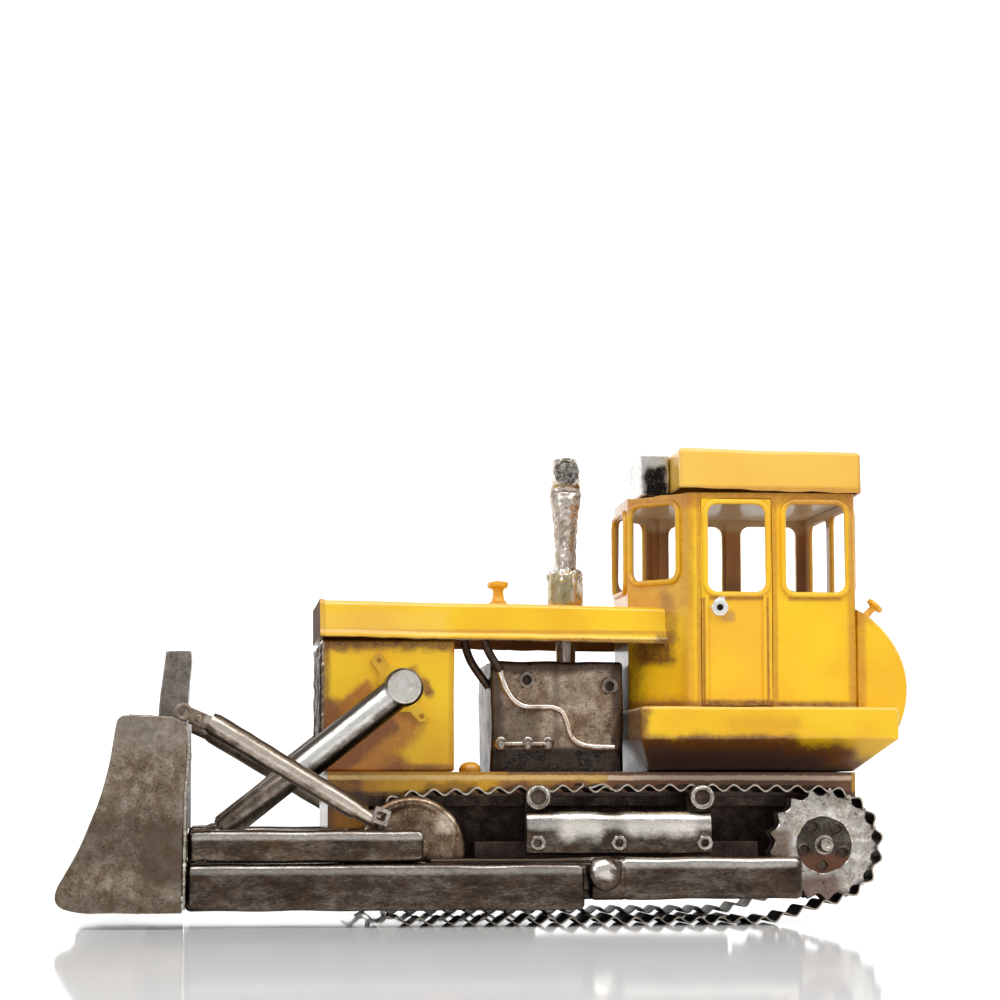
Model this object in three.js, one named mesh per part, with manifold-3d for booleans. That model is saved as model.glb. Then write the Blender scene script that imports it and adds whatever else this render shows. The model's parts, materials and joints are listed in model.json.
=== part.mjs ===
// Toy bulldozer of folded and welded sheet metal.
// Millimetres, +Z up. The blade faces -X, the left side faces -Y. The origin is on the ground,
// midway along the length and width. Left-hand parts are built first and mirrored to the right.
import * as THREE from "three";
import { mergeVertices } from "three/addons/utils/BufferGeometryUtils.js";
import Module from "manifold-3d";

// ---------------------------------------------------------------- driving dimensions
const GAP = 0.3; // air between neighbouring pieces
const SHEET = 1.2; // wall of the folded sheet boxes
const TUBE_WALL = 1.4; // wall of the square tubes and of the engine

const DECK = { front: -80, rear: 185, half: 49, bottom: 61.5, top: 74 };
const BELLY = { front: -52, rear: 172, half: 40, bottom: 25 };
const AXLE_RADIUS = 3;

const RADIATOR = { front: -82.6, rear: -17, half: 43, top: 139.3 };
const HOOD = { front: -84.3, rear: 91, half: 46, bottom: 139.6, top: 158, corner: 3 };
const ENGINE = { front: 2.5, rear: 69.8, half: 32, top: 129.8 };
const EXHAUST_X = 44.5;

const CAB = { front: 73.5, shoulder: 99, rear: 184, nose: 25, half: 60, floor: 106.3, top: 213.5 };
const WINDOW = { bottom: 163.4, top: 208, corner: 5, rim: 2.5, proud: 1.2 };
const DOOR = { front: 105.4, rear: 141, bottom: 106.9, top: 210.4, slack: 0.4 };
const ROOF = { front: 94, rear: 187, half: 63, bottom: 213.8, top: 234.3 };
const BASE = { front: 73, rear: 203, half: 70, bottom: 74.6, knee: 90.5, top: 106 };
const TANK = { x: 165.9, z: 115.8, radius: 43.6, half: 60 };

const BAND = { inner: 50.5, outer: 80, thickness: 0.8, swing: 1.3, pitch: 10.8 };
const SPROCKET = { x: 162.5, z: 38.2, tip: 27.6, root: 24.9, teeth: 17, holes: 5, holeReach: 10.2 };
const IDLER = { x: -40.8, z: 36, radius: 26, drum: 20.3 };
const WHEEL_FACE = 83; // |Y| of the wheels' outer faces
const CARRIER = { xs: [20.2, 100.6], z: 61.5, radius: 6.1, axle: 1.8 };

const SIDE_BEAM = {
  front: -34, rear: 146.3, step: 43, inner: 84, mid: 95, outer: 104, bottom: 12.8, top: 32.7,
};
const PIVOT = { x: 49.8, z: 25, pin: 3 };
const PUSH_BEAM = { front: -149.3, rear: 40.2, inner: 95.8, outer: 108, bottom: 8, top: 30.2 };
const UPPER_ARM = { front: -148.4, rear: -36.7, inner: 95.8, outer: 107, bottom: 30.5, top: 46 };
const TONGUE = { radius: 8, outer: 98 };
const GUARD = { front: 14.3, rear: 104.2, inner: 83.7, outer: 88.7, bottom: 34, top: 54.6 };

const BLADE_HALF = 118;
const PLATE = 1.8; // blade plates
const TRUNNION = { x: -44.4, z: 114.7, y: -70 };
const LIFT_PIN = { x: -135, z: 42.5, radius: 2.2 };
const BARREL = { radius: 6.8, bore: 5.8, length: 70 };
const ROD = { radius: 5.5, tail: 47, eye: 5.4, eyeBore: 3.65 };
const BRACE = {
  y: -98, ringX: -151.1, ringZ: 101.6, topX: -138.5, topZ: 97.3, footX: -67.5, footZ: 54.6,
};

// ---------------------------------------------------------------- materials
function paint(color, roughness, metalness) {
  return new THREE.MeshStandardMaterial({ color, roughness, metalness });
}
const yellow = () => paint(0xf2b322, 0.42, 0.1);
const rustyYellow = () => paint(0xb9751f, 0.6, 0.2);
const darkSteel = () => paint(0x4b4038, 0.45, 0.9);
const brightSteel = () => paint(0xb8b4ac, 0.3, 1);
const bronze = () => paint(0x6e5c49, 0.4, 0.9);
const blackSteel = () => paint(0x29231f, 0.6, 0.7);

// ---------------------------------------------------------------- solids
const wasm = await Module();
wasm.setup();

function solid(geometry) {
  const bare = geometry.clone();
  bare.deleteAttribute("normal");
  bare.deleteAttribute("uv");
  const merged = mergeVertices(bare, 1e-4);
  const vertProperties = new Float32Array(merged.attributes.position.array);
  const triVerts = new Uint32Array(merged.index.array);
  return new wasm.Manifold(new wasm.Mesh({ numProp: 3, vertProperties, triVerts }));
}

function surface(manifold) {
  const mesh = manifold.getMesh();
  const geometry = new THREE.BufferGeometry();
  geometry.setAttribute("position", new THREE.BufferAttribute(mesh.vertProperties, 3));
  geometry.setIndex(new THREE.BufferAttribute(mesh.triVerts, 1));
  return geometry;
}

function join(...pieces) {
  return surface(pieces.map(solid).reduce((whole, piece) => whole.add(piece)));
}

function cut(body, ...tools) {
  return surface(tools.map(solid).reduce((rest, tool) => rest.subtract(tool), solid(body)));
}

function mirrored(geometry) {
  const copy = geometry.index ? geometry.clone() : mergeVertices(geometry.clone());
  copy.applyMatrix4(new THREE.Matrix4().makeScale(1, -1, 1));
  const index = copy.index.array;
  for (let i = 0; i < index.length; i += 3) {
    const first = index[i];
    index[i] = index[i + 2];
    index[i + 2] = first;
  }
  return copy;
}

// ---------------------------------------------------------------- primitive shapes
function box(x0, x1, y0, y1, z0, z1) {
  const geometry = new THREE.BoxGeometry(x1 - x0, y1 - y0, z1 - z0);
  return geometry.translate((x0 + x1) / 2, (y0 + y1) / 2, (z0 + z1) / 2);
}

function outline(points) {
  return new THREE.Shape(points.map(([u, v]) => new THREE.Vector2(u, v)));
}

function roundedRect(u0, u1, v0, v1, r) {
  const shape = new THREE.Shape();
  shape.moveTo(u0 + r, v0);
  shape.lineTo(u1 - r, v0);
  shape.absarc(u1 - r, v0 + r, r, -Math.PI / 2, 0);
  shape.lineTo(u1, v1 - r);
  shape.absarc(u1 - r, v1 - r, r, 0, Math.PI / 2);
  shape.lineTo(u0 + r, v1);
  shape.absarc(u0 + r, v1 - r, r, Math.PI / 2, Math.PI);
  shape.lineTo(u0, v0 + r);
  shape.absarc(u0 + r, v0 + r, r, Math.PI, 1.5 * Math.PI);
  return shape;
}

function extruded(shape, depth, curveSegments) {
  return new THREE.ExtrudeGeometry(shape, { depth, bevelEnabled: false, curveSegments });
}

// An outline in X and Z, drawn out from y0 to y1.
function prismY(shape, y0, y1, segments = 4) {
  return extruded(shape, y1 - y0, segments).rotateX(Math.PI / 2).translate(0, y1, 0);
}

// An outline in X and Y, drawn out from z0 to z1.
function prismZ(shape, z0, z1, segments = 4) {
  return extruded(shape, z1 - z0, segments).translate(0, 0, z0);
}

// An outline in Y and Z, drawn out from x0 to x1.
function prismX(shape, x0, x1, segments = 4) {
  const axes = new THREE.Matrix4().makeBasis(
    new THREE.Vector3(0, 1, 0),
    new THREE.Vector3(0, 0, 1),
    new THREE.Vector3(1, 0, 0),
  );
  return extruded(shape, x1 - x0, segments).applyMatrix4(axes).translate(x0, 0, 0);
}

function cylinderY(x, z, radius, y0, y1, sides = 24) {
  return new THREE.CylinderGeometry(radius, radius, y1 - y0, sides).translate(x, (y0 + y1) / 2, z);
}

function cylinderZ(x, y, radius, z0, z1, sides = 24) {
  const geometry = new THREE.CylinderGeometry(radius, radius, z1 - z0, sides);
  return geometry.rotateX(Math.PI / 2).translate(x, y, (z0 + z1) / 2);
}

function cylinderX(x0, x1, radius, sides = 24) {
  const geometry = new THREE.CylinderGeometry(radius, radius, x1 - x0, sides);
  return geometry.rotateZ(Math.PI / 2).translate((x0 + x1) / 2, 0, 0);
}

// A hexagon nut of 7 mm across flats on a face at y, standing out towards -Y.
function hexNut(x, z, y, thickness = 2.6, bore = 1.9) {
  const acrossCorners = 7 / Math.cos(Math.PI / 6);
  const nut = cylinderY(x, z, acrossCorners / 2, y - thickness, y, 6);
  return cut(nut, cylinderY(x, z, bore, y - thickness - 1, y - 0.6, 8));
}

// A turned piece about Z from [radius, height] pairs that start and end on the axis.
function turned(profile, sides = 16) {
  const points = profile.map(([radius, height]) => new THREE.Vector2(radius, height));
  return new THREE.LatheGeometry(points, sides).rotateX(Math.PI / 2);
}

function bentRod(points, radius, steps, sides = 8) {
  const path = new THREE.CatmullRomCurve3(points.map(([x, y, z]) => new THREE.Vector3(x, y, z)));
  const section = new THREE.Shape();
  section.absarc(0, 0, radius, 0, 2 * Math.PI);
  const options = { steps, extrudePath: path, curveSegments: sides / 2, bevelEnabled: false };
  return new THREE.ExtrudeGeometry(section, options);
}

// ---------------------------------------------------------------- scene graph
const bulldozer = new THREE.Group();

function add(name, geometry, material, parent = bulldozer) {
  const mesh = new THREE.Mesh(geometry, material);
  mesh.name = name;
  parent.add(mesh);
  return mesh;
}

function addPair(name, leftGeometry, material) {
  add(`left_${name}`, leftGeometry, material());
  add(`right_${name}`, mirrored(leftGeometry), material());
}

// ---------------------------------------------------------------- chassis
function mainFrame() {
  const { front, rear, half, bottom, top } = DECK;
  const noseRear = -60;
  const noseBottom = 46;
  const tray = box(front, rear, -half, half, bottom, top);
  const nose = box(front, noseRear, -half, half, noseBottom, bottom + 1);
  const inner = half - SHEET;
  const trayHollow = box(front + SHEET, rear - SHEET, -inner, inner, bottom - 1, top - SHEET);
  const noseHollow = box(front + SHEET, noseRear - SHEET, -inner, inner, noseBottom - 1, top - SHEET);
  return cut(join(tray, nose), trayHollow, noseHollow);
}

function bellyPan() {
  const { front, rear, half, bottom } = BELLY;
  const top = DECK.bottom - GAP;
  const pan = box(front, rear, -half, half, bottom, top);
  const inner = half - SHEET;
  const hollow = box(front + SHEET, rear - SHEET, -inner, inner, bottom + SHEET, top + 1);
  const reach = WHEEL_FACE - 5;
  const frontAxle = cylinderY(IDLER.x, IDLER.z, AXLE_RADIUS, -reach, reach, 16);
  const rearAxle = cylinderY(SPROCKET.x, SPROCKET.z, AXLE_RADIUS, -reach, reach, 16);
  return join(cut(pan, hollow), frontAxle, rearAxle);
}

// Box beam inside a track, held off the belly pan by cross tubes that go on to the side beam.
function trackFrame() {
  const xs = [20, 60, 100];
  const beam = box(-10, 130, -74, -56, 24, 40);
  const wall = TUBE_WALL;
  const core = box(-11, 130 - wall, wall - 74, -56 - wall, 24 + wall, 40 - wall);
  const tubes = xs.map((x) => cylinderY(x, 28, 3, GAP - SIDE_BEAM.inner, -BELLY.half - GAP, 12));
  const posts = CARRIER.xs.map((x) => box(x - 4, x + 4, -62, -56, 39, 63.2));
  const slots = CARRIER.xs.map((x) => box(x - 2.1, x + 2.1, -63, -55, 59.4, 64));
  return cut(join(beam, ...tubes, ...posts), core, ...slots);
}

// ---------------------------------------------------------------- hood and radiator
function radiatorShell() {
  const { front, rear, half, top } = RADIATOR;
  const bottom = DECK.top + GAP;
  const shell = box(front, rear, -half, half, bottom, top);
  return cut(shell, box(front - 1, rear - SHEET, SHEET - half, half - SHEET, bottom + SHEET, top - SHEET));
}

// Core block behind a row of upright fins; it slides into the open front of the shell.
function radiatorGrille() {
  const { front, half, top } = RADIATOR;
  const bottom = DECK.top + GAP;
  const inset = SHEET + GAP;
  const core = box(front + 5, front + 9, inset - half, half - inset, bottom + inset, top - inset);
  const fins = [];
  for (let y = -36; y <= 36; y += 9) {
    fins.push(box(front - 1.6, front + 5.5, y - 1, y + 1, bottom + inset, top - inset));
  }
  const rails = [bottom + 6, top - 6].map((z) => box(front - 1.1, front + 1, -40, 40, z - 1.2, z + 1.2));
  return join(core, ...fins, ...rails);
}

function cabPlan(margin) {
  const { front, shoulder, rear, nose, half } = CAB;
  const slant = Math.hypot(shoulder - front, half - nose);
  const along = (shoulder - front) / slant;
  const across = (half - nose) / slant;
  const noseShift = (margin * (1 - across)) / along;
  const sideShift = (margin * (1 - along)) / across;
  return outline([
    [front - margin, -nose - noseShift],
    [shoulder - sideShift, -half - margin],
    [rear + margin, -half - margin],
    [rear + margin, half + margin],
    [shoulder - sideShift, half + margin],
    [front - margin, nose + noseShift],
  ]);
}

// Folded channel, open below, with a thick lip along both lower edges and a flange at the front.
function hood() {
  const { front, rear, half, bottom, top, corner } = HOOD;
  const outer = prismX(roundedRect(-half, half, bottom, top, corner), front, rear, 3);
  const inside = box(front + SHEET, rear + 1, SHEET - half, half - SHEET, bottom - 1, top - SHEET);
  const lip = box(front, rear, -half - 0.9, -half + 1, bottom, bottom + 2.4);
  const wide = half + 0.8;
  const flange = prismX(roundedRect(-wide, wide, bottom, top + 0.8, corner), front, front + 2.6, 3);
  const cabTool = prismZ(cabPlan(GAP), bottom - 5, top + 5);
  return cut(join(cut(join(outer, flange), inside), lip, mirrored(lip)), cabTool);
}

function fillerCap() {
  const z = HOOD.top + GAP;
  const cap = turned([
    [0, 0], [6.2, 0], [6.2, 2.6], [3.2, 4.2], [2.6, 10], [5.1, 11.2], [5.1, 13.6], [0, 14.2],
  ]);
  return cap.translate(9.4, 0, z);
}

function deckCap() {
  const cap = turned([[0, 0], [4.9, 0], [4.9, 2.2], [4.2, 4.6], [2.4, 6], [0, 6.5]]);
  return cap.translate(-8, -30, DECK.top + GAP);
}

// ---------------------------------------------------------------- engine and pipes
function engineBlock() {
  const { front, rear, half, top } = ENGINE;
  const bottom = DECK.top + GAP;
  const wall = TUBE_WALL;
  const block = prismX(roundedRect(-half, half, bottom, top, 1.5), front, rear, 1);
  const hollow = box(front + wall, rear - wall, wall - half, half - wall, bottom - 1, top - wall);
  const nuts = [hexNut(20.5, 120.2, 0.2 - half), hexNut(62.6, 117.3, 0.2 - half)];
  const rail = bentRod([[6, -half - 1, 88], [18, -half - 1, 88], [32, -half - 1, 88]], 1.3, 2);
  const loops = [7.3, 20.9, 31].map((x) => cylinderY(x, 88, 2.6, -half - 3.4, -half + 0.2, 8));
  const side = [...nuts, rail, ...loops];
  return join(cut(block, hollow), ...side, ...side.map(mirrored));
}

function oilPipe() {
  const y = -ENGINE.half - 1.9;
  const route = [
    [-3, 141], [6.8, 125], [9.8, 116], [13.9, 110], [18.9, 107], [27, 106.6], [34.1, 106.3],
    [38.7, 103.6], [41.2, 97.6], [43.2, 91.5], [47.3, 88.1], [54.9, 86.6], [64.5, 86.6],
  ];
  return bentRod(route.map(([x, z]) => [x, y, z]), 1.3, 26);
}

function fuelPipe() {
  return bentRod([[-9, 18, 142], [-4, 18, 133], [ENGINE.front - GAP - 1.8, 18, 122]], 1.8, 5);
}

function exhaustStub() {
  const low = ENGINE.top + GAP;
  const high = HOOD.top - SHEET - GAP;
  return cylinderZ(EXHAUST_X, 0, 5.2, low, high, 16);
}

function exhaustCollar() {
  const low = HOOD.top + GAP;
  return cut(cylinderZ(EXHAUST_X, 0, 9.4, low, 177, 18), cylinderZ(EXHAUST_X, 0, 6.6, 161, 178, 18));
}

// Bent-over pipe: straight stem, thick joint, then a head whose mouth is cut open to the side.
function exhaustPipe() {
  const stem = turned([[0, 161.4], [6.1, 161.4], [6.1, 213], [7.9, 214.5], [7.9, 218.5], [7.2, 220],
    [7.2, 235.2], [6.2, 236.4], [0, 236.4]], 18);
  const mouth = new THREE.CylinderGeometry(3.6, 3.6, 12, 10).translate(0, -6, 227.5);
  return cut(stem, mouth).translate(EXHAUST_X, 0, 0);
}

// ---------------------------------------------------------------- cab
// Frames for cutting windows: a point on the wall's outer face and the turn that faces it outwards.
const chamferTurn = -Math.PI / 2 + Math.atan2(CAB.shoulder - CAB.front, CAB.half - CAB.nose);
const WALLS = {
  left: { x: 0, y: -CAB.half, turn: 0 },
  leftQuarter: { x: CAB.front, y: -CAB.nose, turn: chamferTurn },
  front: { x: CAB.front, y: 0, turn: -Math.PI / 2 },
  rear: { x: CAB.rear, y: 0, turn: Math.PI / 2 },
};

function onWall(geometry, wall) {
  return geometry.rotateZ(wall.turn).translate(wall.x, wall.y, 0);
}

function windowHole(wall, u0, u1, z0, z1) {
  return onWall(prismY(roundedRect(u0, u1, z0, z1, WINDOW.corner), -4, 6, 2), wall);
}

function windowRim(wall, u0, u1, z0, z1) {
  const { rim, proud, corner } = WINDOW;
  const shape = roundedRect(u0 - rim, u1 + rim, z0 - rim, z1 + rim, corner + rim);
  return onWall(prismY(shape, -proud, SHEET / 2, 2), wall);
}

const leftWindows = [
  [WALLS.left, 148, 178.6, WINDOW.bottom, WINDOW.top],
  [WALLS.leftQuarter, 3.2, 35.2, 170.4, WINDOW.top],
];
const centreWindows = [
  [WALLS.front, -19.5, 19.5, 167, 206],
  [WALLS.rear, -50, -3.4, WINDOW.bottom, WINDOW.top - 1],
  [WALLS.rear, 3.4, 50, WINDOW.bottom, WINDOW.top - 1],
];

function cabShell() {
  const { floor, top } = CAB;
  const { front, rear, slack } = DOOR;
  const hull = prismZ(cabPlan(0), floor, top);
  const room = prismZ(cabPlan(-SHEET), floor - 1, top - SHEET);
  const leftRims = leftWindows.map((w) => windowRim(...w));
  const leftHoles = leftWindows.map((w) => windowHole(...w));
  const lintel = DOOR.top + slack;
  const doorway = box(front - slack, rear + slack, -CAB.half - 5, 5 - CAB.half, floor - 1, lintel);
  const rims = [...leftRims, ...leftRims.map(mirrored), ...centreWindows.map((w) => windowRim(...w))];
  const holes = [...leftHoles, ...leftHoles.map(mirrored), ...centreWindows.map((w) => windowHole(...w))];
  return cut(join(hull, ...rims), room, ...holes, doorway, mirrored(doorway));
}

function door() {
  const { front, rear, bottom, top } = DOOR;
  const face = -CAB.half;
  const pane = [WALLS.left, 108.4, 138, WINDOW.bottom, WINDOW.top - 0.2];
  const panel = box(front, rear, face, face + SHEET, bottom, top);
  const bead = (x) => box(x - 1.2, x + 1.2, face - 1.2, face + 0.5, bottom, WINDOW.bottom);
  return cut(join(panel, windowRim(...pane), bead(107.1), bead(139.6)), windowHole(...pane));
}

function cabRoof() {
  const { front, rear, half, bottom, top } = ROOF;
  const lid = prismX(roundedRect(-half, half, bottom, top, 1.6), front, rear, 2);
  const inner = half - SHEET;
  return cut(lid, box(front + SHEET, rear - SHEET, -inner, inner, bottom - 1, top - SHEET));
}

function airFilterBox() {
  return box(80.8, ROOF.front - GAP - 0.1, -27, 27, CAB.top + GAP, 232.8);
}

// Upright fender box on an inverted pyramid that narrows to the deck.
function cabBase() {
  const { front, rear, half, bottom, knee, top } = BASE;
  const foot = { front: 80, rear: 184.5, half: 49 };
  const corners = (f, z) => [[f.front, -f.half], [f.rear, -f.half], [f.rear, f.half], [f.front, f.half]]
    .map(([x, y]) => [x, y, z]);
  const skirt = (grow) => {
    const upper = { front: front - grow, rear: rear + grow, half: half + grow };
    const lower = { front: foot.front - grow, rear: foot.rear + grow, half: foot.half + grow };
    return hexahedron(corners(lower, grow ? bottom - 1 : bottom), corners(upper, knee + 0.01));
  };
  const inner = half - SHEET;
  const outer = join(skirt(0), box(front, rear, -half, half, knee, top));
  const room = box(front + SHEET, rear - SHEET, -inner, inner, knee, top - SHEET);
  return cut(outer, join(skirt(-SHEET), room));
}

function hexahedron(low, high) {
  const geometry = new THREE.BufferGeometry();
  const positions = new Float32Array([...low, ...high].flat());
  geometry.setAttribute("position", new THREE.BufferAttribute(positions, 3));
  const index = [0, 2, 1, 0, 3, 2, 4, 5, 6, 4, 6, 7];
  for (let i = 0; i < 4; i += 1) {
    const next = (i + 1) % 4;
    index.push(i, next, next + 4, i, next + 4, i + 4);
  }
  geometry.setIndex(index);
  return geometry;
}

// D-shaped tank behind the cab; its rear lip hangs down behind the fender.
function rearTank() {
  const front = CAB.rear + GAP;
  const lipBottom = 91.4;
  const drum = (radius, half) => cylinderY(TANK.x, TANK.z, radius, -half, half, 48);
  const below = (z, rear = 300) => box(0, rear, -80, 80, 0, z);
  const cabSide = box(0, front, -80, 80, 0, 300);
  const shelf = BASE.top + GAP;
  const body = cut(drum(TANK.radius, TANK.half), cabSide, below(shelf, BASE.rear + GAP), below(lipBottom));
  return cut(body, cut(drum(TANK.radius - SHEET, TANK.half - SHEET), below(shelf + SHEET)));
}

function tankCap() {
  const cap = turned([
    [0, 0], [2.6, 0], [1.7, 1.2], [1.7, 5.4], [4.4, 6.2], [4.4, 8.2], [0, 8.6],
  ]);
  const place = 0.6; // radians off upright, round the drum
  const lean = 0.75;
  const reach = TANK.radius + 0.8;
  cap.rotateY(lean);
  return cap.translate(TANK.x + reach * Math.sin(place), -50, TANK.z + reach * Math.cos(place));
}

function seat() {
  const side = outline([[128, 106.6], [156, 106.6], [164, 166], [158, 168], [151, 124], [128, 121]]);
  return prismY(side, -20, 20);
}

function controlLevers() {
  const foot = box(90, 101, -14, 14, 106.6, 113);
  const route = (y, lean) => [[95, y, 112], [95 + lean / 2, y, 130], [95 + lean, y, 148]];
  const lever = (y, lean) => bentRod(route(y, lean), 1.2, 2, 6);
  const knob = (y, lean) => new THREE.SphereGeometry(2.8, 8, 5).translate(95 + lean, y, 148);
  const sticks = [[-9, 6], [0, 9], [9, 5]];
  return join(foot, ...sticks.map((s) => lever(...s)), ...sticks.map((s) => knob(...s)));
}

// ---------------------------------------------------------------- running gear
// Closed path round four circles, sampled by distance: each sample gives a point and its outward normal.
function beltPath(circles) {
  const spans = circles.map((a, i) => {
    const b = circles[(i + 1) % circles.length];
    const along = new THREE.Vector2(b.x - a.x, b.z - a.z);
    const distance = along.length();
    along.normalize();
    const right = new THREE.Vector2(along.y, -along.x);
    const sine = (a.r - b.r) / distance;
    const normal = right.multiplyScalar(Math.sqrt(1 - sine * sine)).addScaledVector(along, sine);
    return { a, b, normal, length: Math.sqrt(distance * distance - (a.r - b.r) ** 2) };
  });
  const pieces = [];
  spans.forEach((span, i) => {
    const next = spans[(i + 1) % spans.length];
    const start = Math.atan2(span.normal.y, span.normal.x);
    const sweep = (Math.atan2(next.normal.y, next.normal.x) - start + 2 * Math.PI) % (2 * Math.PI);
    pieces.push({ straight: true, length: span.length, span });
    pieces.push({ straight: false, length: sweep * span.b.r, circle: span.b, start, sweep });
  });
  const total = pieces.reduce((sum, piece) => sum + piece.length, 0);
  function at(distance) {
    let rest = distance;
    let piece = pieces[0];
    for (piece of pieces) {
      if (rest <= piece.length) break;
      rest -= piece.length;
    }
    if (piece.straight) {
      const { a, b, normal } = piece.span;
      const t = rest / piece.length;
      const x = a.x + a.r * normal.x + t * (b.x - a.x + (b.r - a.r) * normal.x);
      const z = a.z + a.r * normal.y + t * (b.z - a.z + (b.r - a.r) * normal.y);
      return { x, z, nx: normal.x, nz: normal.y };
    }
    const angle = piece.start + rest / piece.circle.r;
    const nx = Math.cos(angle);
    const nz = Math.sin(angle);
    return { x: piece.circle.x + piece.circle.r * nx, z: piece.circle.z + piece.circle.r * nz, nx, nz };
  }
  return { total, at };
}

// Corrugated band: flat crests outside and pointed valleys, an exact number of waves round the loop.
function trackBand() {
  const middle = BAND.swing + BAND.thickness / 2;
  const flatRun = { front: -44, rear: 134, radius: 12 };
  const circles = [
    { x: flatRun.rear, z: middle + flatRun.radius, r: flatRun.radius },
    { x: SPROCKET.x, z: SPROCKET.z, r: 27.7 },
    { x: CARRIER.xs[1], z: 54.2, r: 12 },
    { x: CARRIER.xs[0], z: 53.5, r: 12 },
    { x: -38.5, z: 37.5, r: 25.8 },
    { x: flatRun.front, z: middle + flatRun.radius, r: flatRun.radius },
  ];
  const path = beltPath(circles);
  const waves = Math.round(path.total / BAND.pitch);
  const steps = [[0.1, 1], [0.4, 1], [0.75, -1]];
  const outer = [];
  const inner = [];
  for (let wave = 0; wave < waves; wave += 1) {
    for (const [phase, sign] of steps) {
      const { x, z, nx, nz } = path.at(((wave + phase) / waves) * path.total);
      const out = sign * BAND.swing + BAND.thickness / 2;
      const back = sign * BAND.swing - BAND.thickness / 2;
      outer.push(new THREE.Vector2(x + out * nx, z + out * nz));
      inner.push(new THREE.Vector2(x + back * nx, z + back * nz));
    }
  }
  const shape = new THREE.Shape(outer);
  shape.holes.push(new THREE.Path(inner));
  return prismY(shape, -BAND.outer, -BAND.inner, 1);
}

// Wheels are built about their own axle, with their outer face at y = 0 and the drum towards +Y.
function sprocket() {
  const { teeth, tip, root } = SPROCKET;
  const face = new THREE.Shape();
  for (let tooth = 0; tooth < teeth; tooth += 1) {
    for (const [phase, radius] of [[-0.46, root], [-0.07, tip], [0.07, tip], [0.46, root]]) {
      const angle = ((tooth + phase) / teeth) * 2 * Math.PI;
      const x = radius * Math.cos(angle);
      const z = radius * Math.sin(angle);
      if (tooth === 0 && phase === -0.46) face.moveTo(x, z);
      else face.lineTo(x, z);
    }
  }
  const ring = cut(prismY(face, 0, 2.2, 1), cylinderY(0, 0, 13.4, -1, 3, 24));
  const web = cylinderY(0, 0, 14, 1.1, 3.2, 24);
  const holes = [];
  for (let hole = 0; hole < SPROCKET.holes; hole += 1) {
    const angle = ((hole - 0.3) / SPROCKET.holes) * 2 * Math.PI;
    const x = SPROCKET.holeReach * Math.cos(angle);
    const z = SPROCKET.holeReach * Math.sin(angle);
    holes.push(cylinderY(x, z, 2.5, 0, 4, 8));
  }
  const rim = cut(cylinderY(0, 0, 24.2, 2, 29, 24), cylinderY(0, 0, 22.8, 1, 30, 24));
  const hub = cylinderY(0, 0, 5.4, 1.2, 29, 12);
  const bolt = cylinderY(0, 0, 3.6, -1.6, 2, 12);
  return cut(join(cut(join(ring, web), ...holes), rim, hub, bolt), axleBore());
}

function axleBore() {
  return cylinderY(0, 0, AXLE_RADIUS + GAP, 4.6, 31, 12);
}

function idler() {
  const { radius, drum } = IDLER;
  const profile = [
    [0, 0.6], [8, 0.6], [9, 0], [18, 0], [25.2, 1.2], [radius, 2], [radius, 2.5], [drum, 2.6],
    [drum, 29], [drum - 1.4, 29], [drum - 1.4, 4], [5.4, 4], [5.4, 29], [0, 29],
  ];
  const points = profile.map(([r, y]) => new THREE.Vector2(r, y));
  return cut(new THREE.LatheGeometry(points, 28), axleBore());
}

function carrierRoller() {
  const { radius, axle } = CARRIER;
  const disc = cylinderY(0, 0, radius, -2, 1.2, 16);
  const nose = cut(cylinderY(0, 0, 4.3, -3.4, 0, 12), cylinderY(0, 0, 2.2, -4, -1.2, 8));
  return join(disc, nose, cylinderY(0, 0, axle, 0, 27.6, 8));
}

function sideBeam() {
  const { front, rear, step, inner, mid, outer, bottom, top } = SIDE_BEAM;
  const inside = box(front, rear, -mid, -inner, bottom, top);
  const outside = box(step, rear, -outer, 0.5 - mid, bottom, top);
  const wall = TUBE_WALL;
  const tube = box(step + 20, rear - wall, wall - outer, -inner - wall, bottom + wall, top - wall);
  const shaft = box(front - 1, step + 21, wall - mid, -inner - wall, bottom + wall, top - wall);
  const pocket = box(step - 1, step + 17, -TONGUE.outer - GAP, -mid, bottom - 1, top + 1);
  const bore = cylinderY(PIVOT.x, PIVOT.z, PIVOT.pin + GAP, -outer - 1, -inner - 1, 12);
  return cut(join(inside, outside), shaft, tube, pocket, bore);
}

function pivotPin() {
  const face = SIDE_BEAM.outer + GAP;
  const dome = turned([
    [0, -13], [PIVOT.pin, -13], [PIVOT.pin, 0], [7.7, 0], [7.3, 1.4], [5.6, 2.7], [3, 3.4], [0, 3.6],
  ]);
  return dome.rotateX(Math.PI / 2).translate(PIVOT.x, -face, PIVOT.z);
}

function rollerGuard() {
  const { front, rear, inner, outer, bottom, top } = GUARD;
  const section = new THREE.Shape();
  section.moveTo(-inner, bottom);
  section.lineTo(-inner, top);
  section.lineTo(-outer + 4.5, top);
  section.absarc(-outer + 4.5, top - 4.5, 4.5, Math.PI / 2, Math.PI);
  section.lineTo(-outer, bottom);
  const nuts = [19.4, 58.9, 100.9].map((x) => hexNut(x, 39.3, 0.2 - outer));
  return join(prismX(section, front, rear, 4), ...nuts);
}

// ---------------------------------------------------------------- blade
function bladeCurve(offset) {
  return new THREE.QuadraticBezierCurve(
    new THREE.Vector2(-182 + offset, 95),
    new THREE.Vector2(-187.5 + offset, 52),
    new THREE.Vector2(-208.5 + offset, 16),
  );
}

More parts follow.
